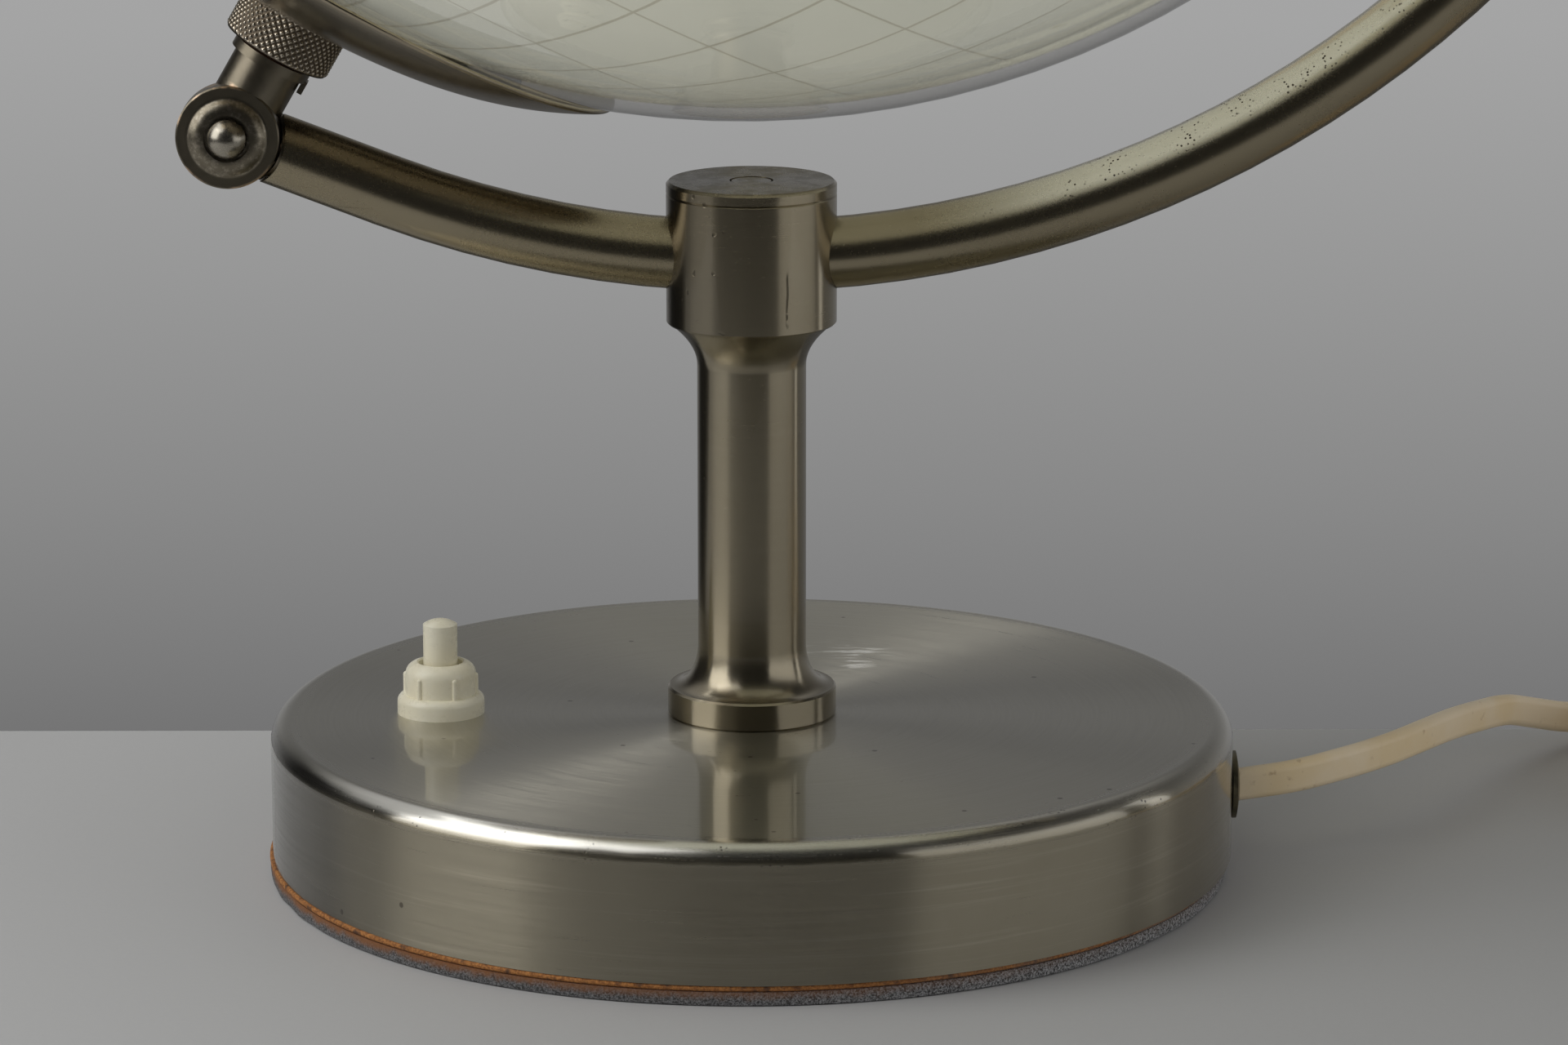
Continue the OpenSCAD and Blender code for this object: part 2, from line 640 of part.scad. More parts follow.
// A spherical sheet between two radii and two distances from the axis, pole down
module cap_sheet(r_out, r_in, d_in, d_out, n = 24) {
    rotate_extrude(angle = 360, $fn = 180) polygon(concat(
        arc([0, 0], r_out, -90 + asin(d_in / r_out), -90 + asin(d_out / r_out), n),
        arc([0, 0], r_in, -90 + asin(d_out / r_in), -90 + asin(d_in / r_in), n)));
}

// The dish hugs the glass: it draws in toward it from dish_bend to its rim
dish_edge = dish_angle - 0.17;
dish_in = dish_rise - dish_t - 0.2;
function dish_r(q) = dish_out_r - dish_in * pow(max(0, q - dish_bend) / (dish_edge - dish_bend), 2);
function dish_line(low, high, off, n) = [for (i = [0:n]) let(q = low + (high - low) * i / n,
    r = dish_r(q) - off) [r * sin(q), -r * cos(q)]];

module south_dish() color(nickel) on_axis() rotate_extrude($fn = 180) polygon(concat(
    dish_line(asin((bush_r + drill) / dish_out_r), dish_edge, 0, 30),
    [for (a = [30:30:150]) let(r = dish_r(dish_edge) - dish_t / 2 * (1 - cos(a)),
        q = dish_edge + 0.17 * sin(a)) [r * sin(q), -r * cos(q)]],
    dish_line(dish_edge, asin((bush_r + drill) / (dish_out_r - dish_t)), dish_t, 30)));

module dish_gasket() color(rubber) on_axis() let(low = asin((open_r + 2) / globe_r),
    high = asin((open_r + 10) / globe_r)) rotate_extrude($fn = 180) polygon(concat(
        dish_line(low, high, dish_t + seat, 8),
        arc([0, 0], globe_r + seat, -90 + high, -90 + low, 8)));

module clamp_bar() color(steel) difference() {
    south(bar_low_s) translate([-bar_half, -bar_w / 2, 0]) cube([2 * bar_half, bar_w, bar_t]);
    south(bar_low_s + 1) cylinder(r = bush_r + drill, h = bar_t + 2);
}

pad_far = bar_half - 4;
pad_low_s = sqrt(map_in_r * map_in_r - pad_far * pad_far - pow(bar_w / 2 - 1, 2)) - 0.1;

module bar_pads() color(rubber) for (side = [-1, 1]) south(pad_low_s)
    translate([side * (pad_far - 1.5) - 1.5, 1 - bar_w / 2, 0])
        cube([3, bar_w - 2, pad_low_s - bar_low_s - seat]);

module axis_bush() color(brass) difference() {
    union() {
        south(collar_low_s - collar_room) cylinder(r = bush_r, h = collar_low_s - collar_room - bush_top_s);
        south(bush_top_s + bush_head_t) hexagon(2 * bush_head_r * cos(30), bush_head_t);
    }
    south(collar_low_s + 5) cylinder(r = tie_r + fit, h = collar_low_s);
}

module knurled_collar() color(nickel) difference() {
    south(collar_low_s) barrel(collar_r, collar_h, 0.7);
    south(collar_low_s + 1) cylinder(r = bush_r + fit, h = collar_h + 2);
}

module north_cap() color(nickel) on_axis() rotate([180, 0, 0])
    cap_sheet(globe_r + 2.1, globe_r + 1.1, axle_r + fit, cap_r);

module north_gasket() color(rubber) on_axis() rotate([180, 0, 0])
    cap_sheet(globe_r + 1.1 - seat, globe_r + seat, axle_r + 4, cap_r - 2);

north_in_s = sqrt(map_in_r * map_in_r - 144) - seat;

module north_washer() color(rubber) on_axis(north_in_s - 1.5) ring(12, axle_r + fit, 1.5);

module north_nut() color(steel) difference() {
    on_axis(north_in_s - 1.5 - seat - 5) hexagon(10, 5);
    on_axis(north_in_s - 10) cylinder(r = axle_r + fit, h = 20);
}

knob_s = tongue_top_s + end_play;
knob_h = 10;

module north_axle() color(steel) on_axis(north_in_s - 9)
    cylinder(r = axle_r, h = knob_s + 7 - north_in_s + 9);

module north_spool() color(nickel) difference() {
    low = globe_r + 2.1 + seat;
    high = tongue_low_s - end_play;
    mid = (low + high) / 2;
    on_axis() rotate_extrude() polygon(concat([[0, low], [8, low], [8, low + 1.2]],
        flare(7.4, low + 1.2, 5, mid), [for (i = [15:-1:0]) flare(6.6, high - 1.2, 5, mid)[i]],
        [[7, high - 1.2], [7, high], [0, high]]));
    on_axis(globe_r) cylinder(r = axle_r + fit, h = 60);
}

module north_knob() color(nickel) difference() {
    on_axis(knob_s) union() {
        barrel(8, knob_h - 3, 0.7);
        translate([0, 0, knob_h - 3 - eps]) domed_bar(7.3, eps, 3);
    }
    on_axis(knob_s - 1) cylinder(r = axle_r + fit, h = 8.5);
}

// Switch, in its own frame on the base's top
module at_switch(z) {
    translate([-switch_x, 0, z]) children();
}

rib_out = 0.45;
rib_w = 1.15;
rib_h = 4.7;
rib_turn = 236;

module switch_nut() color(cream) difference() {
    at_switch(base_top) union() {
        rotate_extrude() polygon(concat([[0, 0], [nut_foot_r, 0], [nut_foot_r, nut_foot_h - 1.5]],
            arc([nut_foot_r - 1.5, nut_foot_h - 1.5], 1.5, 15, 90, 6),
            [[nut_r, nut_foot_h], [nut_r, nut_h - 2.6]],
            arc([nut_r - 2.6, nut_h - 2.6], 2.6, 12, 90, 8), [[0, nut_h]]));
        for (i = [0:rib_count - 1]) rotate(rib_turn + 360 * i / rib_count)
            translate([nut_r + rib_out - rib_w / 2, 0, nut_foot_h - 0.5]) {
                cylinder(d = rib_w, h = rib_h - rib_w / 2, $fn = 24);
                translate([0, 0, rib_h - rib_w / 2]) sphere(d = rib_w, $fn = 24);
            }
    }
    at_switch(base_top - 1) cylinder(r = switch_neck_r + fit, h = switch_neck_top - base_top + 1.2);
    at_switch(base_top) cylinder(r = nut_hole_r, h = nut_h + 1);
}

module switch_body() color([0.2, 0.13, 0.09]) difference() {
    union() {
        at_switch(switch_body_low) barrel(switch_body_r, shell_top_in - seat - switch_body_low, 1);
        at_switch(shell_top_in - 1) cylinder(r = switch_neck_r, h = switch_neck_top - shell_top_in + 1);
    }
    at_switch(switch_floor) cylinder(r = switch_cavity_r, h = switch_cavity_top - switch_floor);
    at_switch(switch_floor) cylinder(r = button_r + 0.08, h = 60);
    for (y = [-1, 1]) at_switch(switch_body_low + 4) translate([switch_body_r - 1, 5 * y, 0])
        cube([8, 4.4, 4.4], center = true);
}

module switch_terminals() color(brass) for (y = [-1, 1])
    at_switch(switch_body_low + 4) translate([switch_body_r - 3.1, 5 * y, 0])
        cube([3.6, 4.2, 4.2], center = true);

module switch_button() color(cream) {
    at_switch(button_foot_low) cylinder(r = 4.6, h = button_foot_t);
    at_switch(button_foot_low + eps) domed_bar(button_r, nut_top + button_out - 1.1 - button_foot_low, 1.1);
}

spring_low = switch_floor + spring_wire_r + seat;
spring_high = button_foot_low - spring_wire_r - seat;

module switch_spring() color(steel) sweep([for (i = [0:12 * spring_turns]) let(a = 30 * i) [
    spring_mid_r * cos(a) - switch_x, spring_mid_r * sin(a),
    spring_low + (spring_high - spring_low) * i / (12 * spring_turns)]], round_section(spring_wire_r, 5));

// Cord outlet, clamp and inner leads
sleeve_r = 4.6;

module cord_slot(x0, x1, room) {
    translate([x0, -cord_half_t - room, cord_z - cord_half_w - room])
        cube([x1 - x0, cord_t + 2 * room, cord_w + 2 * room]);
}

module cord_grommet() color([0.35, 0.32, 0.24]) difference() {
    union() {
        translate([base_r - 6, 0, cord_z]) rotate([0, 90, 0]) cylinder(r = sleeve_r, h = 6.5);
        translate([base_r + seat, 0, cord_z]) rotate([0, 90, 0]) domed_bar(grommet_r, 0.9, 0.75);
    }
    cord_slot(base_r - 8, base_r + 4, 0.15);
}

module grommet_nut() color(steel) difference() {
    translate([base_r - shell_wall - 3.2, 0, cord_z]) rotate([0, 90, 0]) cylinder(r = outlet_nut_r, h = 2.2);
    translate([base_r - shell_wall - 5, 0, cord_z]) rotate([0, 90, 0]) cylinder(r = sleeve_r + fit, h = 10);
}

clamp_x = base_r - 19;

module clamp_screw_places() {
    for (y = [-1, 1]) translate([clamp_x, y * (cord_half_t + 5), 0]) children();
}

module cord_clamp() color(steel) difference() {
    translate([clamp_x + 4, 0, 0]) rotate([0, -90, 0]) linear_extrude(8) difference() {
        union() {
            translate([ballast_top, -cord_half_t - 9]) square([1.2, cord_t + 18]);
            translate([ballast_top, -cord_half_t - 1.5])
                square([cord_z + cord_half_w + 1.5 - ballast_top, cord_t + 3]);
        }
        translate([ballast_top - 1, -cord_half_t - seat])
            square([cord_z + cord_half_w + seat - ballast_top + 1, cord_t + 2 * seat]);
    }
    clamp_screw_places() translate([0, 0, ballast_top - 1]) cylinder(r = 1.5 + drill, h = 5);
}

module clamp_screws() color(steel) clamp_screw_places() {
    translate([0, 0, ballast_top - 5]) cylinder(r = 1.5, h = 6.3);
    translate([0, 0, ballast_top + 1.2]) barrel(2.8, 1.8, 0.3);
}

inner_end = clamp_x - 8;

module inner_cord() color(cord_cream) translate([inner_end, 0, cord_z]) rotate([90, 0, 90])
    linear_extrude(exit_x - inner_end) polygon(cord_section());

// Two wires up the column into the arm's lower side
wire_arc_r = arm_r + arm_bore_r - wire_r - 0.3;

module feed_wires() color([0.75, 0.72, 0.66]) for (side = [-1, 1]) {
    foot = side > 0 ? [[inner_end - seat - wire_r, side * wire_y, cord_z],
            [feed_x[0], side * wire_y, boss_hole_z]]
        : [[-switch_x + switch_body_r - 1.2, -5, switch_body_low + 4],
            [feed_x[1], side * wire_y, boss_hole_z]];
    rise = eased(concat(foot, [[0, side * wire_y, boss_hole_z], [0, side * wire_y, hub_z - arm_tube_r],
        [0, side * wire_y, arm_c[2] - wire_arc_r], [-5, side * wire_y, arm_c[2] - wire_arc_r]]), 2.4);
    bend = [for (a = [268:-2:arm_start])
        [wire_arc_r * cos(a), side * wire_y, arm_c[2] + wire_arc_r * sin(a)]];
    sweep(concat(rise, bend), round_section(wire_r, 8), up = [0, 1, 0]);
}

lead_z = ballast_top + wire_r + 0.2;

module switch_lead() color([0.3, 0.2, 0.16]) sweep(eased(concat(
    [[inner_end - seat - wire_r, -wire_y, cord_z]], [for (p = lead_route) [p[0], p[1], lead_z]],
    [[-switch_x + switch_body_r - 1.2, 5, switch_body_low + 4]]), 5), round_section(wire_r, 8),
    last = [-1, 0, 0]);

// The free cord
module cord_lead() color(cord_cream)
    sweep(cord_route, cord_section(), first = [1, 0, 0], last = [1, 0, 0]);

// The coil winds in on the lower layer, climbs in one half turn, and winds out on the upper one
coil_low_turns = 3.5;
coil_climb_turns = 0.5;
coil_high_turns = 3.25;
coil_turns = coil_low_turns + coil_climb_turns + coil_high_turns;
layer_rise = cord_w + 0.6;
function slow(x) = x * x * (3 - 2 * x);
function coil_step(x) = x <= 0 ? 0 : x < 0.5 ? 2 * x : x + 0.5;   // the inner half turn opens twice as fast
function coil_radius(t) = coil_in_r + coil_pitch * (coil_step(coil_low_turns - t)
    + coil_step(t - coil_low_turns - coil_climb_turns));
function coil_height(t) = cord_half_w
    + layer_rise * slow(min(max((t - coil_low_turns) / coil_climb_turns, 0), 1));
function coil_point(t) = let(r = coil_radius(t), a = 90 - 360 * t)
    [coil_c[0] + r * cos(a), coil_c[1] + r * sin(a), coil_height(t)];
coil_rings = [for (i = [0:round(24 * coil_turns)]) i / 24];
coil_points = concat([coil_point(0) - [coil_straight, 0, 0]], [for (t = coil_rings) coil_point(t)],
    [coil_point(coil_turns) - [0, coil_straight, 0]]);
coil_gaps = [for (i = coil_rings) for (j = [1:round(coil_turns)]) if (i + j <= coil_turns)
    max(abs(coil_radius(i + j) - coil_radius(i)) - cord_t, coil_height(i + j) - coil_height(i) - cord_w)];

module cord_coil() color(cord_cream)
    sweep(coil_points, coil_section(), first = [1, 0, 0], last = [0, -1, 0]);

module cord_tail() color(cord_cream)
    sweep(tail_route, cord_section(), first = [0, -1, 0], last = [0, -1, 0]);

// A plain flat two-pin plug that lies on the table
module plug_body() color(cord_cream) difference() {
    union() {
        translate([plug_x, plug_y, 0]) mirror([0, 1, 0]) translate([0, sleeve_l, plug_z - plug_t / 2])
            linear_extrude(plug_t) polygon([[-6, 0], [6, 0], [plug_w / 2, 9], [plug_w / 2, plug_l - 2],
                [plug_w / 2 - 2, plug_l], [2 - plug_w / 2, plug_l], [-plug_w / 2, plug_l - 2],
                [-plug_w / 2, 9]]);
        translate([plug_x, plug_y, plug_z]) rotate([90, 0, 0])
            cylinder(r1 = 4.2, r2 = 5.8, h = sleeve_l + 1);
    }
    translate([plug_x, plug_y + 1, plug_z]) rotate([90, 0, 0])
        linear_extrude(1) square([cord_t + 0.4, cord_w + 0.4], center = true);
    for (side = [-1, 1]) translate([plug_x + side * pin_gap / 2, pin_y, plug_z])
        rotate([90, 0, 0]) cylinder(r = pin_r + 0.02, h = 20);
}

module plug_pins() color(steel) for (side = [-1, 1])
    translate([plug_x + side * pin_gap / 2, pin_y, plug_z]) rotate([90, 0, 0])
        domed_bar(pin_r, pin_l + pin_root - 1, 0.9);

echo("least gap of the coil to itself", min(coil_gaps));

felt_pad();
bottom_plate();
bottom_screws();
ballast_weight();
base_shell();
tie_tube();
tie_nut();
tie_washer();
column();
hub();
arm_set_screw();
hub_plug();
meridian_arm();
arm_tip();
joint_arm_half();
pivot_bolt();
pivot_nut();
joint_washer();
cord_grommet();
grommet_nut();
cord_clamp();
clamp_screws();
inner_cord();
feed_wires();
switch_lead();
switch_body();
switch_terminals();
switch_nut();
switch_spring();
switch_button();
cord_lead();
cord_coil();
cord_tail();
plug_body();
plug_pins();
joint_neck_half();
tab_washer();
thrust_washer();
lamp_tube();
holder_nut();
lamp_holder();
bulb_cap();
bulb_glass();
glass_ball();
map_layer();
south_dish();
dish_gasket();
clamp_bar();
bar_pads();
axis_bush();
knurled_collar();
north_cap();
north_gasket();
north_washer();
north_nut();
north_axle();
north_spool();
north_knob();
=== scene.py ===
import json
import math

import bmesh
import bpy
import numpy as np
from mathutils import Matrix, Vector


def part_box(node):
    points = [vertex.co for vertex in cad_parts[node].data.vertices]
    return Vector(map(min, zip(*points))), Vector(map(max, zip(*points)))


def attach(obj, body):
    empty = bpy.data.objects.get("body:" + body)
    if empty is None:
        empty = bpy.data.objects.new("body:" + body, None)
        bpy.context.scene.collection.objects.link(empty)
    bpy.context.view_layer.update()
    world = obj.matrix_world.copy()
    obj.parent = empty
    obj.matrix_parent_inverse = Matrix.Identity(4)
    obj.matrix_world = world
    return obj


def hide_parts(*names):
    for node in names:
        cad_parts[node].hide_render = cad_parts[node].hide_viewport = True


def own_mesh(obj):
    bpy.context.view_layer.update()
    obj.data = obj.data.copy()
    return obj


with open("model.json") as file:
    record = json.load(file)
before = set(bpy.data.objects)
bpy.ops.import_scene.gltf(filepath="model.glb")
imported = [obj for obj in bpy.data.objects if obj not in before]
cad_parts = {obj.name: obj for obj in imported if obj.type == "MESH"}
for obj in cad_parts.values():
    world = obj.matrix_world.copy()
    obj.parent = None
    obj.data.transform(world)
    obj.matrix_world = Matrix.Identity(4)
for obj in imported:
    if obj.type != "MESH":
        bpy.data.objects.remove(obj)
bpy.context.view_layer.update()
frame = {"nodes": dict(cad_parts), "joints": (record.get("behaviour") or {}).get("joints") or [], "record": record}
nodes = frame["nodes"]
mm = 0.001
record = frame["record"]
slotOf = {part["node"]: part["material_slot"] for part in record["subparts"]}
bodyOf = {node: body for body, members in record["behaviour"]["bodies"].items() for node in members}
joints = {joint["name"]: joint for joint in frame["joints"]}
ballCentre = Vector(joints["globe_spin"]["pos_m"])
ballAxis = Vector(joints["globe_spin"]["axis"]).normalized()
pivot = Vector(joints["globe_swing"]["pos_m"])
tilt = math.atan2(ballAxis.x, ballAxis.z)
ballFrame = Matrix.Translation(ballCentre) @ Matrix.Rotation(tilt, 4, "Y")   # Z runs to the north pole
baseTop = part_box("base_shell")[1].z
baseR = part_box("base_shell")[1].x
print("frame loaded")


# camera

view = {"place": (0, -1.1410, 0.3398), "tiltDeg": 76.648, "turnDeg": -0.317, "lens": 137.09, "sensor": 36}

cameraData = bpy.data.cameras.new("camera")
cameraData.lens = view["lens"]
cameraData.sensor_width = view["sensor"]
camera = bpy.data.objects.new("camera", cameraData)
camera.location = view["place"]
camera.rotation_euler = (math.radians(view["tiltDeg"]), 0, math.radians(view["turnDeg"]))
bpy.context.scene.collection.objects.link(camera)
bpy.context.scene.camera = camera
bpy.context.scene.view_settings.view_transform = "Standard"


# meshes

def newPiece(name, mesh):
    piece = bpy.data.objects.new(name, mesh)
    bpy.context.scene.collection.objects.link(piece)
    return piece


def flatten(piece):
    # the modifiers' result becomes the piece's own mesh
    bpy.context.view_layer.update()
    evaluated = piece.evaluated_get(bpy.context.evaluated_depsgraph_get())
    mesh = bpy.data.meshes.new_from_object(evaluated)
    piece.modifiers.clear()
    piece.data = mesh
    return piece


def evenShading(piece, angle=32, flats=True):
    # smooth, with sharp edges kept and, where a piece has flats, those kept flat
    piece.data.shade_smooth()
    piece.data.set_sharp_from_angle(angle=math.radians(angle))
    if not flats:
        return piece
    weigh = piece.modifiers.new("weigh", "WEIGHTED_NORMAL")
    weigh.mode = "FACE_AREA"
    weigh.weight = 100
    weigh.keep_sharp = True
    return flatten(piece)


def paint(piece, finish):
    piece.data.materials.clear()
    piece.data.materials.append(finish)
    return piece


def place(piece, node, *others):
    # the piece rides where its CAD node does, stands for it and has its finish
    paint(piece, finishes[slotOf[node]])
    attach(piece, bodyOf[node])
    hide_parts(node, *others)
    return piece


def plainName(node):
    first, *rest = node.split("_")
    return first + "".join(word.capitalize() for word in rest)


def refined(node, angle=32, flats=True):
    # a merged copy of the CAD node's mesh, shaded smooth
    shape = bmesh.new()
    shape.from_mesh(nodes[node].data)
    bmesh.ops.remove_doubles(shape, verts=shape.verts, dist=2e-6)
    bmesh.ops.dissolve_degenerate(shape, edges=shape.edges, dist=1e-7)
    mesh = bpy.data.meshes.new(plainName(node))
    shape.to_mesh(mesh)
    shape.free()
    if "custom_normal" in mesh.attributes:
        mesh.attributes.remove(mesh.attributes["custom_normal"])
    return place(evenShading(newPiece(plainName(node), mesh), angle, flats), node)


def skin(rings, closed=False):
    # faces between rings of equal point counts, with end caps where the skin is open
    count, sides = len(rings), len(rings[0])
    points = [point for ring in rings for point in ring]
    faces = []
    for i in range(count if closed else count - 1):
        j = (i + 1) % count
        for k in range(sides):
            n = (k + 1) % sides
            faces.append((i * sides + k, i * sides + n, j * sides + n, j * sides + k))
    if not closed:
        faces.append(tuple(range(sides - 1, -1, -1)))
        faces.append(tuple((count - 1) * sides + k for k in range(sides)))
    return points, faces


def solid(name, points, faces, frameMatrix=Matrix(), scale=mm):
    shape = bmesh.new()
    made = [shape.verts.new(frameMatrix @ (Vector(point) * scale)) for point in points]
    for face in faces:
        shape.faces.new([made[i] for i in face])
    bmesh.ops.remove_doubles(shape, verts=shape.verts, dist=1e-6)
    bmesh.ops.recalc_face_normals(shape, faces=shape.faces)
    mesh = bpy.data.meshes.new(name)
    shape.to_mesh(mesh)
    shape.free()
    return newPiece(name, mesh)


def lathe(name, profile, frameMatrix=Matrix(), steps=192):
    # a closed profile of (radius, height) turned round Z
    rings = []
    for step in range(steps):
        a = 2 * math.pi * step / steps
        rings.append([(r * math.cos(a), r * math.sin(a), z) for r, z in profile])
    points, faces = skin(rings, closed=True)
    return solid(name, points, faces, frameMatrix)


# node trees: one class for a socket, whose sums add Math nodes, and one for a tree

class Flow:
    def __init__(self, tree, socket):
        self.tree, self.socket = tree, socket

    def math(self, operation, *others):
        return self.tree.add("ShaderNodeMath", {"operation": operation}, dict(enumerate((self, *others))))

    def turned(self, operation, first):
        return self.tree.add("ShaderNodeMath", {"operation": operation}, {0: first, 1: self})

    def __add__(self, other): return self.math("ADD", other)
    def __radd__(self, other): return self.math("ADD", other)
    def __sub__(self, other): return self.math("SUBTRACT", other)
    def __rsub__(self, other): return self.turned("SUBTRACT", other)
    def __mul__(self, other): return self.math("MULTIPLY", other)
    def __rmul__(self, other): return self.math("MULTIPLY", other)
    def __truediv__(self, other): return self.math("DIVIDE", other)
    def __rtruediv__(self, other): return self.turned("DIVIDE", other)
    def __pow__(self, other): return self.math("POWER", other)

    def ease(self, low, high):
        # 0 below low, 1 above high, and the other way round where high is the smaller
        return self.tree.add("ShaderNodeMapRange", {"interpolation_type": "SMOOTHSTEP"},
                             {"Value": self, "From Min": low, "From Max": high})

    def within(self, low, high): return self.math("MAXIMUM", low).math("MINIMUM", high)


class Tree:
    def __init__(self, nodeTree):
        self.nodeTree = nodeTree

    def add(self, kind, settings=None, inputs=None, output=0):
        made = self.nodeTree.nodes.new(kind)
        for key, value in (settings or {}).items():
            if key == "stops":
                ramp = made.color_ramp
                while len(ramp.elements) < len(value):
                    ramp.elements.new(0.5)
                for element, (at, colour) in zip(ramp.elements, value):
                    element.position, element.color = at, colour
            else:
                setattr(made, key, value)
        for key, value in (inputs or {}).items():
            if isinstance(value, Flow):
                self.nodeTree.links.new(value.socket, made.inputs[key])
            else:
                made.inputs[key].default_value = value
        return Flow(self, made.outputs[output])

    def vector(self, x, y, z): return self.add("ShaderNodeCombineXYZ", None, {0: x, 1: y, 2: z})

    def parts(self, vector):
        split = self.add("ShaderNodeSeparateXYZ", None, {0: vector})
        return [Flow(self, out) for out in split.socket.node.outputs]

    def noise(self, vector, scale, detail=2, w=None, rough=0.5):
        inputs = {"Vector": vector, "Scale": scale, "Detail": detail, "Roughness": rough}
        if w is None:
            return self.add("ShaderNodeTexNoise", None, inputs)
        return self.add("ShaderNodeTexNoise", {"noise_dimensions": "4D"}, {**inputs, "W": w})

    def cells(self, vector, scale):
        return self.add("ShaderNodeTexVoronoi", None, {"Vector": vector, "Scale": scale})

    def join(self, *shapes):
        made = self.add("GeometryNodeJoinGeometry")
        for shape in shapes:
            self.nodeTree.links.new(shape.socket, made.socket.node.inputs[0])
        return made

    def blend(self, factor, first, second):
        return self.add("ShaderNodeMix", {"data_type": "RGBA"}, {0: factor, 6: first, 7: second}, 2)


class Finish(Tree):
    # a material with one Principled shader
    def __init__(self, name, **values):
        self.material = bpy.data.materials.new(name)
        self.material.use_nodes = True
        super().__init__(self.material.node_tree)
        self.nodeTree.nodes.clear()
        self.shader = self.add("ShaderNodeBsdfPrincipled")
        self.output = self.nodeTree.nodes.new("ShaderNodeOutputMaterial")
        self.nodeTree.links.new(self.shader.socket, self.output.inputs["Surface"])
        for key, value in values.items():
            self.set(key, value)

    def set(self, key, value):
        socket = self.shader.socket.node.inputs[key]
        if isinstance(value, Flow):
            self.nodeTree.links.new(value.socket, socket)
        else:
            socket.default_value = value

    def here(self, centre=(0, 0, 0), turn=(0, 0, 0)):
        # object coordinates in a frame of the piece's own
        at = self.add("ShaderNodeTexCoord", None, None, "Object")
        return self.add("ShaderNodeMapping", {"vector_type": "TEXTURE"},
                        {"Vector": at, "Location": centre, "Rotation": turn})

    def emboss(self, height, depth):
        bump = self.add("ShaderNodeBump", None, {"Strength": 1.0, "Distance": depth, "Height": height})
        self.set("Normal", bump)


def rgb(r, g, b): return (r, g, b, 1)


# nickel: every piece's own colour and roughness, under one common wear

wear = {"cutsPerMetre": 1200, "streaksPerMetre": 300, "cloudsPerMetre": 26, "flecksPerMetre": 1500,
        "dentsPerMetre": 420, "darker": (0.72, 0.68, 0.58), "paler": (1.22, 1.22, 1.25), "coatRough": 0.05}


def nickel(name, colour, rough, centre=(0, 0, 0), turn=(0, 0, 0), lines=3.0, length=3.0, lineDepth=4e-6,
           stain=0.35, spread=0.0, gloss=0.0, worn=0.0, brushed=1.0, extra=None):
    finish = Finish(name, Metallic=1.0)
    at = finish.here(centre, turn)
    x, y, z = finish.parts(at)
    r = (x * x + y * y).math("SQRT")
    # cut lines run round the piece's own axis
    cx, cy = x / r * length, y / r * length
    fine, broad = wear["cutsPerMetre"] * lines, wear["streaksPerMetre"] * lines
    cut = finish.noise(finish.vector(cx, cy, r * fine), 1.0, 3, z * fine, 0.7)
    streak = finish.noise(finish.vector(cx * 0.4, cy * 0.4, r * broad), 1.0, 2, z * broad)
    cloud = finish.noise(at, wear["cloudsPerMetre"], 5, None, 0.6)
    fleck = finish.noise(at, wear["flecksPerMetre"], 2)
    dark = rgb(*(c * share for c, share in zip(colour, wear["darker"])))
    light = rgb(*(min(c * share, 1) for c, share in zip(colour, wear["paler"])))
    base = finish.blend(cloud.ease(0.35, 0.75) * stain, rgb(*colour), dark)
    base = finish.blend((streak * 0.5 + cut * 0.5).ease(0.5, 0.7) * (0.45 * brushed), base, light)
    height = cut * 0.7 + streak * 0.3
    roughness = rough + (cut - 0.5) * (0.14 * brushed) + (cloud - 0.5) * 0.08 + (fleck - 0.5) * 0.04
    if worn:
        dent = finish.noise(at, wear["dentsPerMetre"], 4, None, 0.7)
        height = height + dent * worn
        roughness = roughness + (dent - 0.5) * 0.2
    if extra:
        base, roughness, height = extra(finish, at, (x, y, z, r), base, roughness, height)
    finish.set("Base Color", base)
    finish.set("Roughness", roughness.within(0.05, 0.95))
    if spread:
        # the light spreads across the turned lines
        finish.set("Anisotropic", spread)
        finish.set("Anisotropic Rotation", 0.25)
    if gloss:
        finish.set("Coat Weight", gloss)
        finish.set("Coat Roughness", wear["coatRough"])
    finish.emboss(height, lineDepth)
    return finish.material


baseLook = {"top": (0.50, 0.475, 0.40), "paleRim": (0.86, 0.84, 0.77), "dull": (0.03, 0.028, 0.025),
            "pit": (0.05, 0.035, 0.02), "rub": (0.80, 0.80, 0.77), "rubPlace": (0.017, 0.043), "rubSize": 0.015}


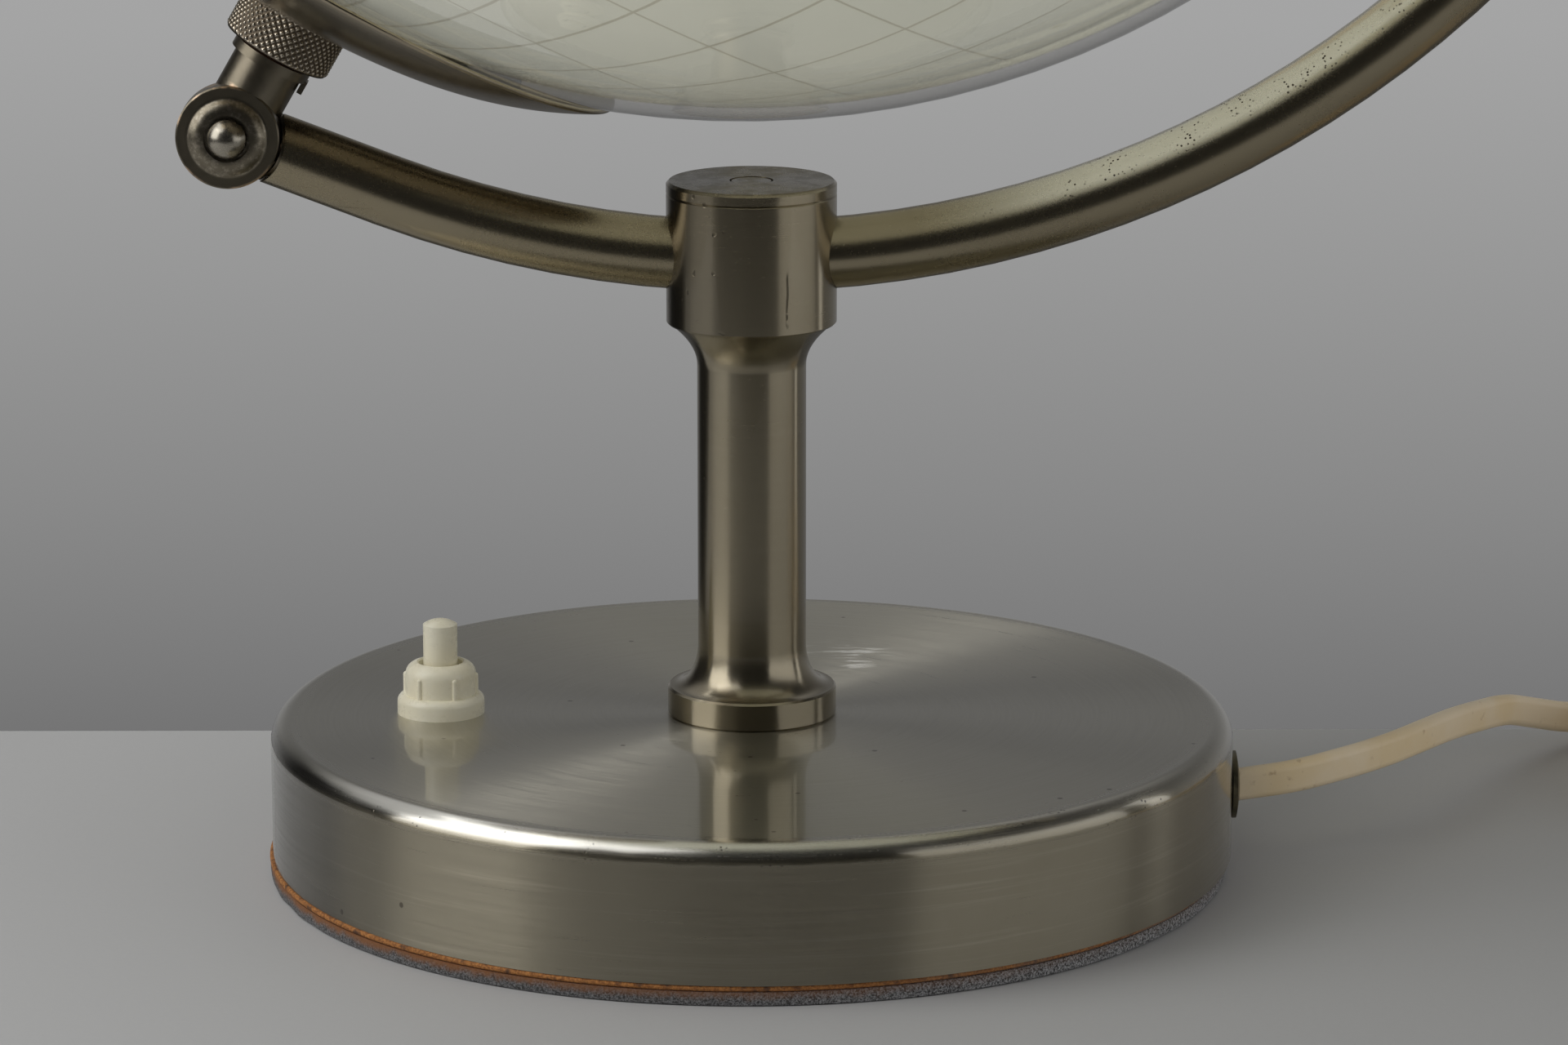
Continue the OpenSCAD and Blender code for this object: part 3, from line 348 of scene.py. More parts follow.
def baseWearAndPaintedLight(finish, at, spot, base, roughness, height):
    # painted sheen makes the flat top lighter and greyer than the warm side, painted shade darkens the side's left
    # end, and a painted highlight lies on the front-left of the top edge; old pits sit on the rim, and pale rubs
    # behind the column
    x, y, z, r = spot
    top = z.ease(baseTop - 0.0035, baseTop - 0.0005)
    # painted sheen: the top is made lighter and greyer than the side
    base = finish.blend(top * 0.8, base, rgb(*baseLook["top"]))
    rim = z.ease(baseTop - 0.005, baseTop - 0.003) * (1 - r.ease(baseR - 0.004, baseR - 0.007) * top)
    # painted highlight along the front-left of the top edge
    edge = z.ease(baseTop - 0.0028, baseTop - 0.0014) * r.ease(baseR - 0.0036, baseR - 0.0026)
    edge = edge * x.ease(0.05, -0.01) * x.ease(-0.088, -0.068)
    base = finish.blend(edge * 0.9, base, rgb(*baseLook["paleRim"]))
    # painted shade on the left end of the side
    dull = x.ease(-0.074, -0.082) * z.ease(baseTop - 0.0005, baseTop - 0.0015)
    base = finish.blend(dull * 0.45, base, rgb(*baseLook["dull"]))
    pit = (0.26 - finish.cells(at, 900)).ease(0, 0.1) * finish.noise(at, 130, 2).ease(0.54, 0.64) * rim
    stray = (0.05 - finish.cells(at, 75)).ease(0, 0.02) * 0.9
    base = finish.blend(pit.math("MAXIMUM", stray) * 0.8, base, rgb(*baseLook["pit"]))
    rub = finish.noise(finish.vector(x * 110, y * 420, 0), 1.0, 4).ease(0.52, 0.64)
    dx, dy = x - baseLook["rubPlace"][0], y - baseLook["rubPlace"][1]
    near = (dx * dx + dy * dy).math("SQRT").ease(baseLook["rubSize"], baseLook["rubSize"] * 0.4) * top
    base = finish.blend(rub * near * 0.7, base, rgb(*baseLook["rub"]))
    return base, roughness + rub * near * 0.2 - rim * 0.10, height - pit * 4


hubLook = {"low": 0.109, "high": 0.13695, "top": (0.16, 0.135, 0.09), "shaded": (0.11, 0.095, 0.07),
           "knock": (0.05, 0.04, 0.025), "scratchX": 0.0068, "scratchLow": 0.111, "scratchHigh": 0.1215}


def knockedAndShadedHub(finish, at, spot, base, roughness, height):
    # small dents and painted shade on the hub's left, a scratch down its right, and a dull brown top
    x, y, z, r = spot
    hub, front = z.ease(hubLook["low"] - 0.0005, hubLook["low"] + 0.0005), y.ease(0, -0.002)
    dent = (0.30 - finish.cells(at, 520)).ease(0, 0.12) * finish.noise(at, 190, 2).ease(0.54, 0.62)
    dent = dent * hub * x.ease(-0.004, -0.009)
    waver = (finish.noise(at, 260, 2) - 0.5) * 0.0006
    low, high = hubLook["scratchLow"], hubLook["scratchHigh"]
    scratch = (x - hubLook["scratchX"] + waver).math("ABSOLUTE").ease(0.00032, 0.00008) * front
    scratch = scratch * z.ease(low - 0.0005, low + 0.0005) * z.ease(high + 0.001, high - 0.001)
    scratch = scratch * finish.noise(at, 700, 2).ease(0.3, 0.5)
    top = z.ease(hubLook["high"] - 0.00015, hubLook["high"] + 0.00015)
    patch = finish.noise(at, 190, 4, None, 0.7).ease(0.42, 0.6)
    base = finish.blend(top * (patch * 0.5 + 0.3), base, rgb(*hubLook["top"]))
    # painted shade darkens the hub's left side
    base = finish.blend(hub * x.ease(-0.002, -0.0075) * 0.55, base, rgb(*hubLook["shaded"]))
    base = finish.blend((dent * 0.5).math("MAXIMUM", scratch * 0.8), base, rgb(*hubLook["knock"]))
    return base, roughness + top * patch * 0.12, height - dent * 14 - scratch * 6


# the arm's pale colour is a painted highlight
armLook = {"middleZ": 0.32125, "pale": (0.95, 0.92, 0.82), "pit": (0.05, 0.035, 0.02),
           "scratch": (0.10, 0.075, 0.045), "pitsPerMetre": 1100, "clustersPerMetre": 75}


def pittedArmWithHighlight(finish, at, spot, base, roughness, height):
    # r runs from the middle of the arm's curve, so its inner side, which faces the ball, has the smaller r;
    # the tube itself is smooth, and only its pits and scratches have depth
    x, y, z, r = spot
    low = y.ease(-0.04, -0.09)
    # painted highlight: a pale band on the inner side of the arm's right-hand part, towards the front
    pale = r.ease(0.1975, 0.1945) * x.ease(0.03, 0.07) * low
    base = finish.blend(pale * 0.95, base, rgb(*armLook["pale"]))
    inner = r.ease(0.1985, 0.1945) * x.ease(0.03, 0.06) * low
    cluster = finish.noise(at, armLook["clustersPerMetre"], 3).ease(0.52, 0.62) * 0.9 + 0.06
    pit = (0.30 - finish.cells(at, armLook["pitsPerMetre"])).ease(0, 0.1)
    pit = pit * finish.noise(at, 420, 1).ease(0.42, 0.5) * inner * cluster
    base = finish.blend(pit, base, rgb(*armLook["pit"]))
    scratch = finish.noise(finish.vector(x * 40, y * 900, z * 40), 1.0, 4).ease(0.66, 0.7)
    scratch = scratch * x.ease(-0.05, -0.07)
    base = finish.blend(scratch * 0.25, base, rgb(*armLook["scratch"]))
    return base, roughness + pit * 0.35, 0 - pit * 90 - scratch * 3


discLook = {"flat": (0.13, 0.115, 0.085), "ring": (0.52, 0.47, 0.38), "rubbed": (0.62, 0.46, 0.32),
            "ringR": 0.0080, "edgeR": 0.0099}


def ringedDisc(finish, at, spot, base, roughness, height):
    # the disc's flat rim ring is nearly black, its raised ring lighter, and its edges are rubbed bright
    x, y, z, r = spot
    ringR, edgeR = discLook["ringR"], discLook["edgeR"]
    front = z.ease(0.004, 0.0055)
    flat = r.ease(ringR - 0.0001, ringR + 0.0002) * r.ease(edgeR, edgeR - 0.0003) * front
    ring = r.ease(ringR, ringR - 0.0005) * front
    mottle = finish.noise(at, 900, 4, None, 0.7)
    base = finish.blend(flat * 0.75, base, rgb(*discLook["flat"]))
    base = finish.blend(ring * mottle.ease(0.45, 0.7) * 0.5, base, rgb(*discLook["ring"]))
    rubbed = r.ease(edgeR - 0.0005, edgeR - 0.0001) * r.ease(edgeR + 0.0009, edgeR + 0.0003)
    rubbed = finish.noise(at, 260, 3).ease(0.5, 0.62) * rubbed * 0.8
    base = finish.blend(rubbed, base, rgb(*discLook["rubbed"]))
    return base, roughness + flat * 0.12, height + mottle * ring * 1.5


dirt = {"colour": (0.075, 0.05, 0.028), "clearR": 0.01095, "fullR": 0.0107, "boreR": 0.0085}


def knurlGrooves(finish, at, spot, base, roughness, height):
    # dirt lies deep in the knurl
    x, y, z, r = spot
    deep = r.ease(dirt["clearR"], dirt["fullR"]) * r.ease(dirt["boreR"], dirt["boreR"] + 0.001)
    base = finish.blend(deep * 0.85, base, rgb(*dirt["colour"]))
    return base, roughness + deep * 0.25, height


across = (math.pi / 2, 0, 0)
ballPlace, ballTurn = tuple(ballCentre), (0, tilt, 0)
finishes = {
    "base_nickel": nickel("satinNickelBase", (0.30, 0.27, 0.20), 0.33, lines=1.3, spread=0.97, stain=0.3,
                          gloss=0.9, brushed=2.0, extra=baseWearAndPaintedLight),
    "column_nickel": nickel("satinNickelColumn", (0.33, 0.29, 0.21), 0.25, lines=4.0, length=1.5, spread=0.8,
                            stain=0.3, gloss=0.3, brushed=0.6, extra=knockedAndShadedHub),
    "arm_nickel": nickel("satinNickelArm", (0.37, 0.32, 0.222), 0.27, centre=(0, 0, armLook["middleZ"]),
                         turn=across, lines=0.4, length=1.0, lineDepth=2e-7, stain=0.25, brushed=0.05,
                         extra=pittedArmWithHighlight),
    "joint_nickel": nickel("wornNickelJoint", (0.21, 0.185, 0.14), 0.34, centre=tuple(pivot), turn=across,
                           lines=0.8, lineDepth=6e-6, stain=0.6, worn=1.5, extra=ringedDisc),
    "knurl_nickel": nickel("knurledNickel", (0.66, 0.60, 0.50), 0.22, centre=ballPlace, turn=ballTurn,
                           lineDepth=3e-6, stain=0.7, worn=0.8, extra=knurlGrooves),
    "dish_nickel": nickel("satinNickelDish", (0.42, 0.365, 0.27), 0.21, centre=ballPlace, turn=ballTurn,
                          lines=2.0, stain=0.4),
    "rivet": nickel("polishedRivet", (0.40, 0.37, 0.31), 0.28, centre=tuple(pivot), turn=across,
                    lines=0.6, lineDepth=1e-6, stain=0.3),
}


# other metals and plain stuffs

def speckled(name, colour, other, rough, metal, size, depth):
    finish = Finish(name, Metallic=metal)
    at = finish.here()
    coarse, fine = finish.noise(at, size * 0.12, 4), finish.noise(at, size, 3)
    mottle = (coarse * 0.6 + fine * 0.4).ease(0.38, 0.66)
    finish.set("Base Color", finish.blend(mottle, rgb(*colour), rgb(*other)))
    finish.set("Roughness", (rough + (fine - 0.5) * 0.3).within(0.05, 1.0))
    finish.emboss(fine * 0.7 + coarse * 0.3, depth)
    return finish.material


finishes.update({
    "plain_steel": speckled("zincSteel", (0.55, 0.56, 0.57), (0.42, 0.42, 0.42), 0.35, 1.0, 900, 4e-6),
    "cast_iron": speckled("castIron", (0.06, 0.06, 0.062), (0.13, 0.12, 0.11), 0.7, 0.6, 700, 6e-5),
    "outlet_metal": speckled("dullBrassOutlet", (0.13, 0.12, 0.085), (0.23, 0.2, 0.13), 0.45, 1.0, 900, 1e-5),
    "lamp_brass": speckled("lampBrass", (0.62, 0.47, 0.22), (0.5, 0.36, 0.16), 0.3, 1.0, 900, 3e-6),
    "pin_metal": speckled("platedPins", (0.66, 0.6, 0.45), (0.55, 0.5, 0.38), 0.22, 1.0, 900, 2e-6),
    "fibre": speckled("vulcanFibre", (0.2, 0.07, 0.035), (0.12, 0.04, 0.02), 0.6, 0.0, 900, 1e-5),
    "black_rubber": speckled("blackRubber", (0.02, 0.02, 0.02), (0.035, 0.034, 0.032), 0.75, 0.0, 1200,
                             1e-5),
    "brown_plastic": speckled("brownBakelite", (0.035, 0.018, 0.01), (0.05, 0.026, 0.014), 0.25, 0.0, 500,
                              2e-6),
    "wire_sheath": speckled("wireSheath", (0.6, 0.56, 0.47), (0.5, 0.46, 0.38), 0.5, 0.0, 500, 4e-6),
    "bulb_frost": speckled("frostedBulb", (0.86, 0.86, 0.83), (0.8, 0.8, 0.77), 0.55, 0.0, 1500, 2e-6),
})


creamLook = {"IOR": 1.5, "grimy": 0.62, "spot": (0.42, 0.24, 0.08), "relief": 8e-6}


def creamPlastic(name, colour, yellowed, rough, spots=0.0):
    finish = Finish(name, IOR=creamLook["IOR"])
    at = finish.here()
    cloud, fine = finish.noise(at, 60, 4), finish.noise(at, 900, 3)
    grime = finish.noise(at, 230, 4, None, 0.7)
    base = finish.blend(cloud.ease(0.35, 0.7), rgb(*colour), rgb(*yellowed))
    grimy = rgb(*(c * creamLook["grimy"] for c in yellowed))
    base = finish.blend(grime.ease(0.62, 0.82) * 0.35, base, grimy)
    if spots:
        # brown worn spots
        spot = finish.noise(at, 520, 3).ease(0.58, 0.72) * finish.noise(at, 80, 2).ease(0.5, 0.62)
        base = finish.blend(spot * spots, base, rgb(*creamLook["spot"]))
    finish.set("Base Color", base)
    finish.set("Roughness", rough + (grime - 0.5) * 0.2)
    finish.emboss(fine * 0.4 + grime * 0.6, creamLook["relief"])
    return finish.material


finishes["switch_cream"] = creamPlastic("switchCream", (0.94, 0.91, 0.76), (0.90, 0.84, 0.64), 0.28)
finishes["cord_cream"] = creamPlastic("cordCream", (0.93, 0.78, 0.56), (0.88, 0.70, 0.43), 0.40, spots=0.5)


feltLook = {"fibre": (0.04, 0.038, 0.036), "paleLeft": (0.26, 0.26, 0.265), "paleRight": (0.52, 0.52, 0.53),
            "rust": (0.26, 0.105, 0.035)}
rustLook = {"deep": (0.20, 0.07, 0.018), "bright": (0.58, 0.25, 0.07), "scale": (0.11, 0.05, 0.025),
            "bare": (0.18, 0.16, 0.14)}


def feltCloth():
    finish = Finish("greyFelt", Roughness=0.95)
    at = finish.here()
    x, y, z = finish.parts(at)
    fibre, clump = finish.noise(at, 2600, 4, None, 0.75), finish.noise(at, 420, 4)
    pale = finish.blend(x.ease(-0.02, 0.06), rgb(*feltLook["paleLeft"]), rgb(*feltLook["paleRight"]))
    base = finish.blend(fibre.ease(0.38, 0.66), rgb(*feltLook["fibre"]), pale)
    # rust has crept down from the plate, mostly on the left
    rusty = (z + clump * 0.0022 - 0.0012).ease(0.0008, 0.0026) * (0.55 - x * 6).within(0.12, 0.9)
    base = finish.blend(rusty, base, rgb(*feltLook["rust"]))
    finish.set("Base Color", base)
    finish.emboss(fibre * 0.6 + clump * 0.4, 3e-4)
    return finish.material


def rust():
    finish = Finish("rustySheet", Roughness=0.85)
    at = finish.here()
    x, y, z = finish.parts(at)
    grain, scale = finish.noise(at, 1900, 4, None, 0.7), finish.noise(at, 480, 4)
    patch = finish.noise(at, 70, 3)
    base = finish.blend(grain.ease(0.3, 0.7), rgb(*rustLook["deep"]), rgb(*rustLook["bright"]))
    base = finish.blend(scale.ease(0.52, 0.7), base, rgb(*rustLook["scale"]))
    # bare steel in patches, more to the right
    bare = patch.ease(0.45, 0.62) * (x * 9 - 0.1).within(0, 1)
    base = finish.blend(bare, base, rgb(*rustLook["bare"]))
    finish.set("Base Color", base)
    finish.emboss(grain * 0.6 + scale * 0.6, 2e-4)
    return finish.material


finishes["felt"] = feltCloth()
finishes["rusty_steel"] = rust()


# clear glass, and the opal layer with its map

glassLook = {"tint": (0.975, 0.97, 0.955), "IOR": 1.48, "rough": 0.03, "smear": 0.012}


def clearGlass():
    # light goes straight through the thin wall, and its two faces mirror by their angle
    finish = Finish("clearGlass")
    at = finish.here()
    mirror = finish.add("ShaderNodeBsdfGlossy", None, {"Color": rgb(1, 1, 1), "Roughness": glassLook["rough"]})
    clear = finish.add("ShaderNodeBsdfTransparent", None, {"Color": rgb(*glassLook["tint"])})
    inside = finish.add("ShaderNodeNewGeometry", None, None, "Backfacing")
    bend = glassLook["IOR"]
    edge = finish.add("ShaderNodeFresnel", None, {"IOR": bend - inside * (bend - 1 / bend)})
    smear = finish.noise(at, 30, 4).ease(0.45, 0.8) * glassLook["smear"]
    mixed = finish.add("ShaderNodeMixShader", None, {0: (edge + smear).within(0, 1), 1: clear, 2: mirror})
    finish.nodeTree.nodes.remove(finish.shader.socket.node)
    finish.nodeTree.links.new(mixed.socket, finish.output.inputs["Surface"])
    return finish.material


mapLook = {"radius": 165.15, "gridDeg": 10, "gridStartDeg": -1.5, "meridianHalf": 0.34,
           "parallelHalf": 0.26, "soft": 0.14,
           "sea": (0.53, 0.535, 0.475), "seaDeep": (0.50, 0.51, 0.45), "line": (0.21, 0.185, 0.12),
           "land": (0.48, 0.48, 0.37), "coast": (0.30, 0.29, 0.20), "earth": (0.44, 0.395, 0.30),
           "speck": (0.19, 0.17, 0.115), "glow": 0.57}


def opalMap():
    finish = Finish("opalMap", Roughness=0.35, IOR=1.45)
    at = finish.here(ballPlace, ballTurn)
    x, y, z = finish.parts(at)
    r = (x * x + y * y + z * z).math("SQRT")
    latitude = (z / r).math("ARCSINE") * (180 / math.pi)
    longitude = y.math("ARCTAN2", x) * (180 / math.pi)
    step, soft = mapLook["gridDeg"], mapLook["soft"]
    toMm = math.pi / 180 * mapLook["radius"]

    def offLine(degrees, start):
        # distance to the nearest line, in millimetres on the ball
        cell = ((degrees - start) / step + 0.5).math("FRACT") - 0.5
        return cell.math("ABSOLUTE") * step * toMm

    ring = (x * x + y * y).math("SQRT") / r
    waver = (finish.noise(at, 900, 2) - 0.5) * 0.16
    wide, narrow = mapLook["meridianHalf"], mapLook["parallelHalf"]
    meridian = (offLine(longitude, mapLook["gridStartDeg"]) * ring + waver).ease(wide + soft, wide - soft)
    parallel = (offLine(latitude, 0) + waver).ease(narrow + soft, narrow - soft)
    lineUp = meridian.math("MAXIMUM", parallel)
    # made-up land, with its coast drawn fine
    shape = finish.noise(at, 9.0, 6, None, 0.55) - (0.0 - latitude).ease(30, 62) * 0.25
    land, coast = shape.ease(0.535, 0.54), shape.ease(0.524, 0.534) * shape.ease(0.548, 0.538)
    tint = finish.noise(at, 22, 2)
    sea = finish.blend(finish.noise(at, 14, 3), rgb(*mapLook["sea"]), rgb(*mapLook["seaDeep"]))
    ground = finish.blend(tint.ease(0.4, 0.6), rgb(*mapLook["land"]), rgb(*mapLook["earth"]))
    base = finish.blend(land, sea, ground)
    base = finish.blend(coast * 0.7, base, rgb(*mapLook["coast"]))
    base = finish.blend(lineUp * 0.5, base, rgb(*mapLook["line"]))
    specks = (0.08 - finish.cells(at, 130)).ease(0.0, 0.05) * finish.noise(at, 45, 2).ease(0.55, 0.7)
    base = finish.blend(specks * 0.4, base, rgb(*mapLook["speck"]))
    finish.set("Base Color", base)
    finish.set("Emission Color", base)         # painted glow: the map gives off light of its own, in place of daylight that the opal lets through
    finish.set("Emission Strength", mapLook["glow"])
    return finish.material


finishes["globe_glass"] = clearGlass()
finishes["map_opal"] = opalMap()
print("finishes made")


# cord: the same route as the CAD's, with the turns between its points eased

cord = {"width": 6.4, "thick": 3.8, "round": 1.5,
        "route": [[96.7, 0, 15.5], [100.4, 0.4, 15.9], [105.3, 1.5, 16.3], [110.4, 3.7, 16.7],
                  [116.4, 7.4, 17.2], [122.7, 13.1, 17.3], [129.3, 21.3, 17], [136.3, 31.7, 16.6],
                  [143.5, 43.8, 15.7], [150.9, 56.7, 14], [158.5, 69, 12], [164.8, 76.7, 9.3],
                  [172.5, 83.2, 6.6], [183, 89.6, 4.7], [194.5, 93.2, 3.5], [206, 94, 3.2], [216, 94, 3.2]],
        "coilMiddle": (223, 50), "coilRadius": 26, "coilPitch": 4.5, "lowTurns": 3.5, "climbTurns": 0.5,
        "highTurns": 3.25, "rise": 7.0, "stepsPerTurn": 48,
        "tail": [[265.85, 38, 10.1], [265.6, 31, 9.5], [265.3, 24, 8.2], [265.1, 18, 7.2], [265, 13, 7]],
        "spacing": 2.0}


def coilPoint(turn):
    def opened(t): return 0 if t <= 0 else 2 * t if t < 0.5 else t + 0.5
    low, climb = cord["lowTurns"], cord["climbTurns"]
    r = cord["coilRadius"] + cord["coilPitch"] * (opened(low - turn) + opened(turn - low - climb))
    up = min(max((turn - low) / climb, 0), 1)
    a = math.radians(90 - 360 * turn)
    x, y = cord["coilMiddle"]
    return [x + r * math.cos(a), y + r * math.sin(a),
            cord["width"] / 2 + cord["rise"] * up * up * (3 - 2 * up)]


def cordLine():
    turns = cord["lowTurns"] + cord["climbTurns"] + cord["highTurns"]
    coil = [coilPoint(i / cord["stepsPerTurn"]) for i in range(round(turns * cord["stepsPerTurn"]) + 1)]
    points = np.array(cord["route"] + coil + cord["tail"], float)
    # through every point on a smooth curve, at even steps
    fine = []
    for i in range(len(points) - 1):
        before, a, b, after = (points[min(max(i + k, 0), len(points) - 1)] for k in (-1, 0, 1, 2))
        span = np.linalg.norm(b - a)
        slopeA = (b - before) / max(np.linalg.norm(b - a) + np.linalg.norm(a - before), 1e-9) * span
        slopeB = (after - a) / max(np.linalg.norm(after - b) + np.linalg.norm(b - a), 1e-9) * span
        for t in np.linspace(0, 1, 8, endpoint=False):
            fine.append((2 * t**3 - 3 * t**2 + 1) * a + (t**3 - 2 * t**2 + t) * slopeA
                        + (3 * t**2 - 2 * t**3) * b + (t**3 - t**2) * slopeB)
    fine = np.array(fine + [points[-1]])
    run = np.concatenate([[0], np.cumsum(np.linalg.norm(np.diff(fine, axis=0), axis=1))])
    at = np.linspace(0, run[-1], round(run[-1] / cord["spacing"]) + 1)
    return np.stack([np.interp(at, run, fine[:, k]) for k in range(3)], axis=1), run[-1]


def cordSection():
    # a flat strip with rounded corners: thickness first, width second
    halfT, halfW, r = cord["thick"] / 2, cord["width"] / 2, cord["round"]
    section = []
    for corner, (sideT, sideW) in enumerate([(1, 1), (-1, 1), (-1, -1), (1, -1)]):
        for step in range(5):
            a = math.radians(90 * corner + 22.5 * step)
            section.append((sideT * (halfT - r) + r * math.cos(a), sideW * (halfW - r) + r * math.sin(a)))
    return section


line, cordLength = cordLine()
section, last = cordSection(), len(line) - 1
straight = {0: (1, 0, 0), last: (0, -1, 0)}        # out of the base, and into the plug
rings = []
for i, point in enumerate(line):
    ahead = np.array(straight.get(i, line[min(i + 1, last)] - line[max(i - 1, 0)]), float)
    ahead /= np.linalg.norm(ahead)
    side = np.cross(ahead, [0, 0, 1])
    side /= np.linalg.norm(side)
    top = np.cross(side, ahead)
    rings.append([tuple(point + s * side + t * top) for s, t in section])
flex = evenShading(solid("mainsCord", *skin(rings)), 60)
place(flex, "cord_lead", "cord_coil", "cord_tail")
print("cord made,", round(cordLength / 1000, 3), "m")


# plug: a moulded body behind a tapered sleeve

plug = {"x": 265, "y": 13, "z": 7, "sleeve": 21, "sleeveR": 4.2, "body": 35, "halfW": 12.5, "halfT": 6.8,
        "sleeveRibs": 7, "ribStep": 2.5, "sides": 40}


def plugRings():
    sleeve, body, halfW, halfT = plug["sleeve"], plug["body"], plug["halfW"], plug["halfT"]
    # distance from the cord's end, half width, half thickness, squareness
    stations = [(0, 3.4, 3.6, 2), (0.4, 3.9, 4.0, 2)]
    for i in range(plug["sleeveRibs"]):
        s = 1.2 + i * plug["ribStep"]
        w = plug["sleeveR"] + 1.5 * s / sleeve
        stations += [(s, w, w, 2), (s + 0.35, w - 0.45, w - 0.45, 2), (s + 1.15, w - 0.45, w - 0.45, 2),
                     (s + 1.5, w + 0.05, w + 0.05, 2)]
    stations += [(sleeve - 1.2, 5.7, 5.7, 2.1), (sleeve, 6.0, 5.9, 2.4)]
    for i in range(1, 9):
        t = i / 8
        e = t * t * (3 - 2 * t)
        stations.append((sleeve + 9 * t, 6.0 + (halfW - 6.0) * e, 5.9 + (halfT - 5.9) * e, 2.4 + 1.8 * e))
    stations += [(sleeve + body - 2, halfW, halfT, 4.2), (sleeve + body - 1, halfW - 0.25, halfT - 0.25, 4.2),
                 (sleeve + body - 0.25, halfW - 1.0, halfT - 1.0, 4), (sleeve + body, halfW - 2, halfT - 2, 4)]
    rings = []
    for s, w, t, power in stations:
        ring = []
        for k in range(plug["sides"]):
            a = 2 * math.pi * k / plug["sides"]
            c, d = math.cos(a), math.sin(a)
            ring.append((plug["x"] + w * math.copysign(abs(c) ** (2 / power), c), plug["y"] - s,
                         plug["z"] + t * math.copysign(abs(d) ** (2 / power), d)))
        rings.append(ring)
    return rings


plugBody = evenShading(solid("plugBody", *skin(plugRings())), 40)
place(plugBody, "plug_body")
pins = refined("plug_pins")
print("plug made")


# knurl: a closed ring whose outer face carries crossed grooves

knurls = {
    "knurled_collar": {"Radius": 11.0, "Bore": 7.05, "Height": 8.8, "Around": 46, "Pitch": 1.5, "Depth": 0.42,
                       "Edge": 0.7, "south": 180.15},
}
knurlMesh = {"Vertices X": 461, "Vertices Y": 131}        # round the ring, and round its section


def knurlTree():
    tree = bpy.data.node_groups.new("knurledRing", "GeometryNodeTree")
    face = tree.interface
    for name in ("Radius", "Bore", "Height", "Around", "Pitch", "Depth", "Edge"):
        face.new_socket(name, in_out="INPUT", socket_type="NodeSocketFloat")
    face.new_socket("Finish", in_out="INPUT", socket_type="NodeSocketMaterial")
    face.new_socket("Geometry", in_out="OUTPUT", socket_type="NodeSocketGeometry")
    t = Tree(tree)
    source = tree.nodes.new("NodeGroupInput")
    radius, bore, height, around, pitch, depth, edge = (Flow(t, source.outputs[i]) for i in range(7))
    grid = t.add("GeometryNodeMeshGrid", None,
                 {"Size X": 1.0, "Size Y": 1.0, **knurlMesh})
    x, y, _ = t.parts(t.add("GeometryNodeInputPosition"))
    turn, wide = (x + 0.5), radius - bore
    along = (y + 0.5) * (wide * 2 + height * 2)       # once round the ring's section
    z = (along - wide).within(0, height) - (along - wide * 2 - height).within(0, height)
    out = along.within(0, wide) - (along - wide - height).within(0, wide)
    rim = z.math("MINIMUM", height - z)
    outer = (out / wide).ease(0.9, 1.0)
    first = ((turn * around + z / pitch).math("FRACT") - 0.5).math("ABSOLUTE") * 2
    second = ((turn * around - z / pitch).math("FRACT") - 0.5).math("ABSOLUTE") * 2
    groove = first.math("MAXIMUM", second) ** 1.4
    chamfer = (1 - rim / edge).math("MAXIMUM", 0)
    r = bore + out - outer * (groove * depth * rim.ease(0.1, 0.9) + chamfer * chamfer * edge * 0.8)
    angle = turn * (2 * math.pi)
    spot = t.vector(r * angle.math("COSINE"), r * angle.math("SINE"), z)
    moved = t.add("GeometryNodeSetPosition", None, {"Geometry": grid, "Position": spot})
    joined = t.add("GeometryNodeMergeByDistance", None, {"Geometry": moved, "Distance": 0.001})
    real = t.add("GeometryNodeRealizeInstances", None, {"Geometry": joined})
    done = t.add("GeometryNodeSetMaterial", None, {"Geometry": real, "Material": Flow(t, source.outputs[7])})
    sink = tree.nodes.new("NodeGroupOutput")
    tree.links.new(done.socket, sink.inputs[0])
    return tree


def grow(piece, tree, values, finish):
    # the tree makes the piece's mesh, with its inputs set by their sockets' identifiers
    modifier = piece.modifiers.new("grow", "NODES")
    modifier.node_group = tree
    for item in tree.interface.items_tree:
        if item.in_out == "INPUT" and item.name in values:
            modifier[item.identifier] = values[item.name]
        elif item.in_out == "INPUT" and item.name == "Finish":
            modifier[item.identifier] = finish
    return flatten(piece)


knurledRing = knurlTree()
for node, sizes in knurls.items():
    blank = newPiece(plainName(node), bpy.data.meshes.new(plainName(node)))
    values = {key: float(value) for key, value in sizes.items() if key != "south"}
    ring = grow(blank, knurledRing, values, finishes[slotOf[node]])
    ring.data.transform(ballFrame @ Matrix.Translation((0, 0, -sizes["south"] * mm)) @ Matrix.Scale(mm, 4))
    shape = bmesh.new()
    shape.from_mesh(ring.data)
    bmesh.ops.recalc_face_normals(shape, faces=shape.faces)
    shape.to_mesh(ring.data)
    shape.free()
    ring.data.shade_smooth()
    ring.data.set_sharp_from_angle(angle=math.radians(50))
    place(ring, node)
print("knurls made")


# switch nut: a turned body, with its ribs set round it by a tree

nut = {"place": (-61.5, 0, 30.7), "footR": 8.6, "footH": 3.9, "bodyR": 7.0, "height": 10.3, "hole": 4.35,
       "neck": 5.25, "neckTop": 7.3, "footRound": 1.5, "topRound": 2.6,
       "ribs": 6, "ribTurn": 236, "ribWidth": 1.15, "ribOut": 0.45, "ribHeight": 4.7}


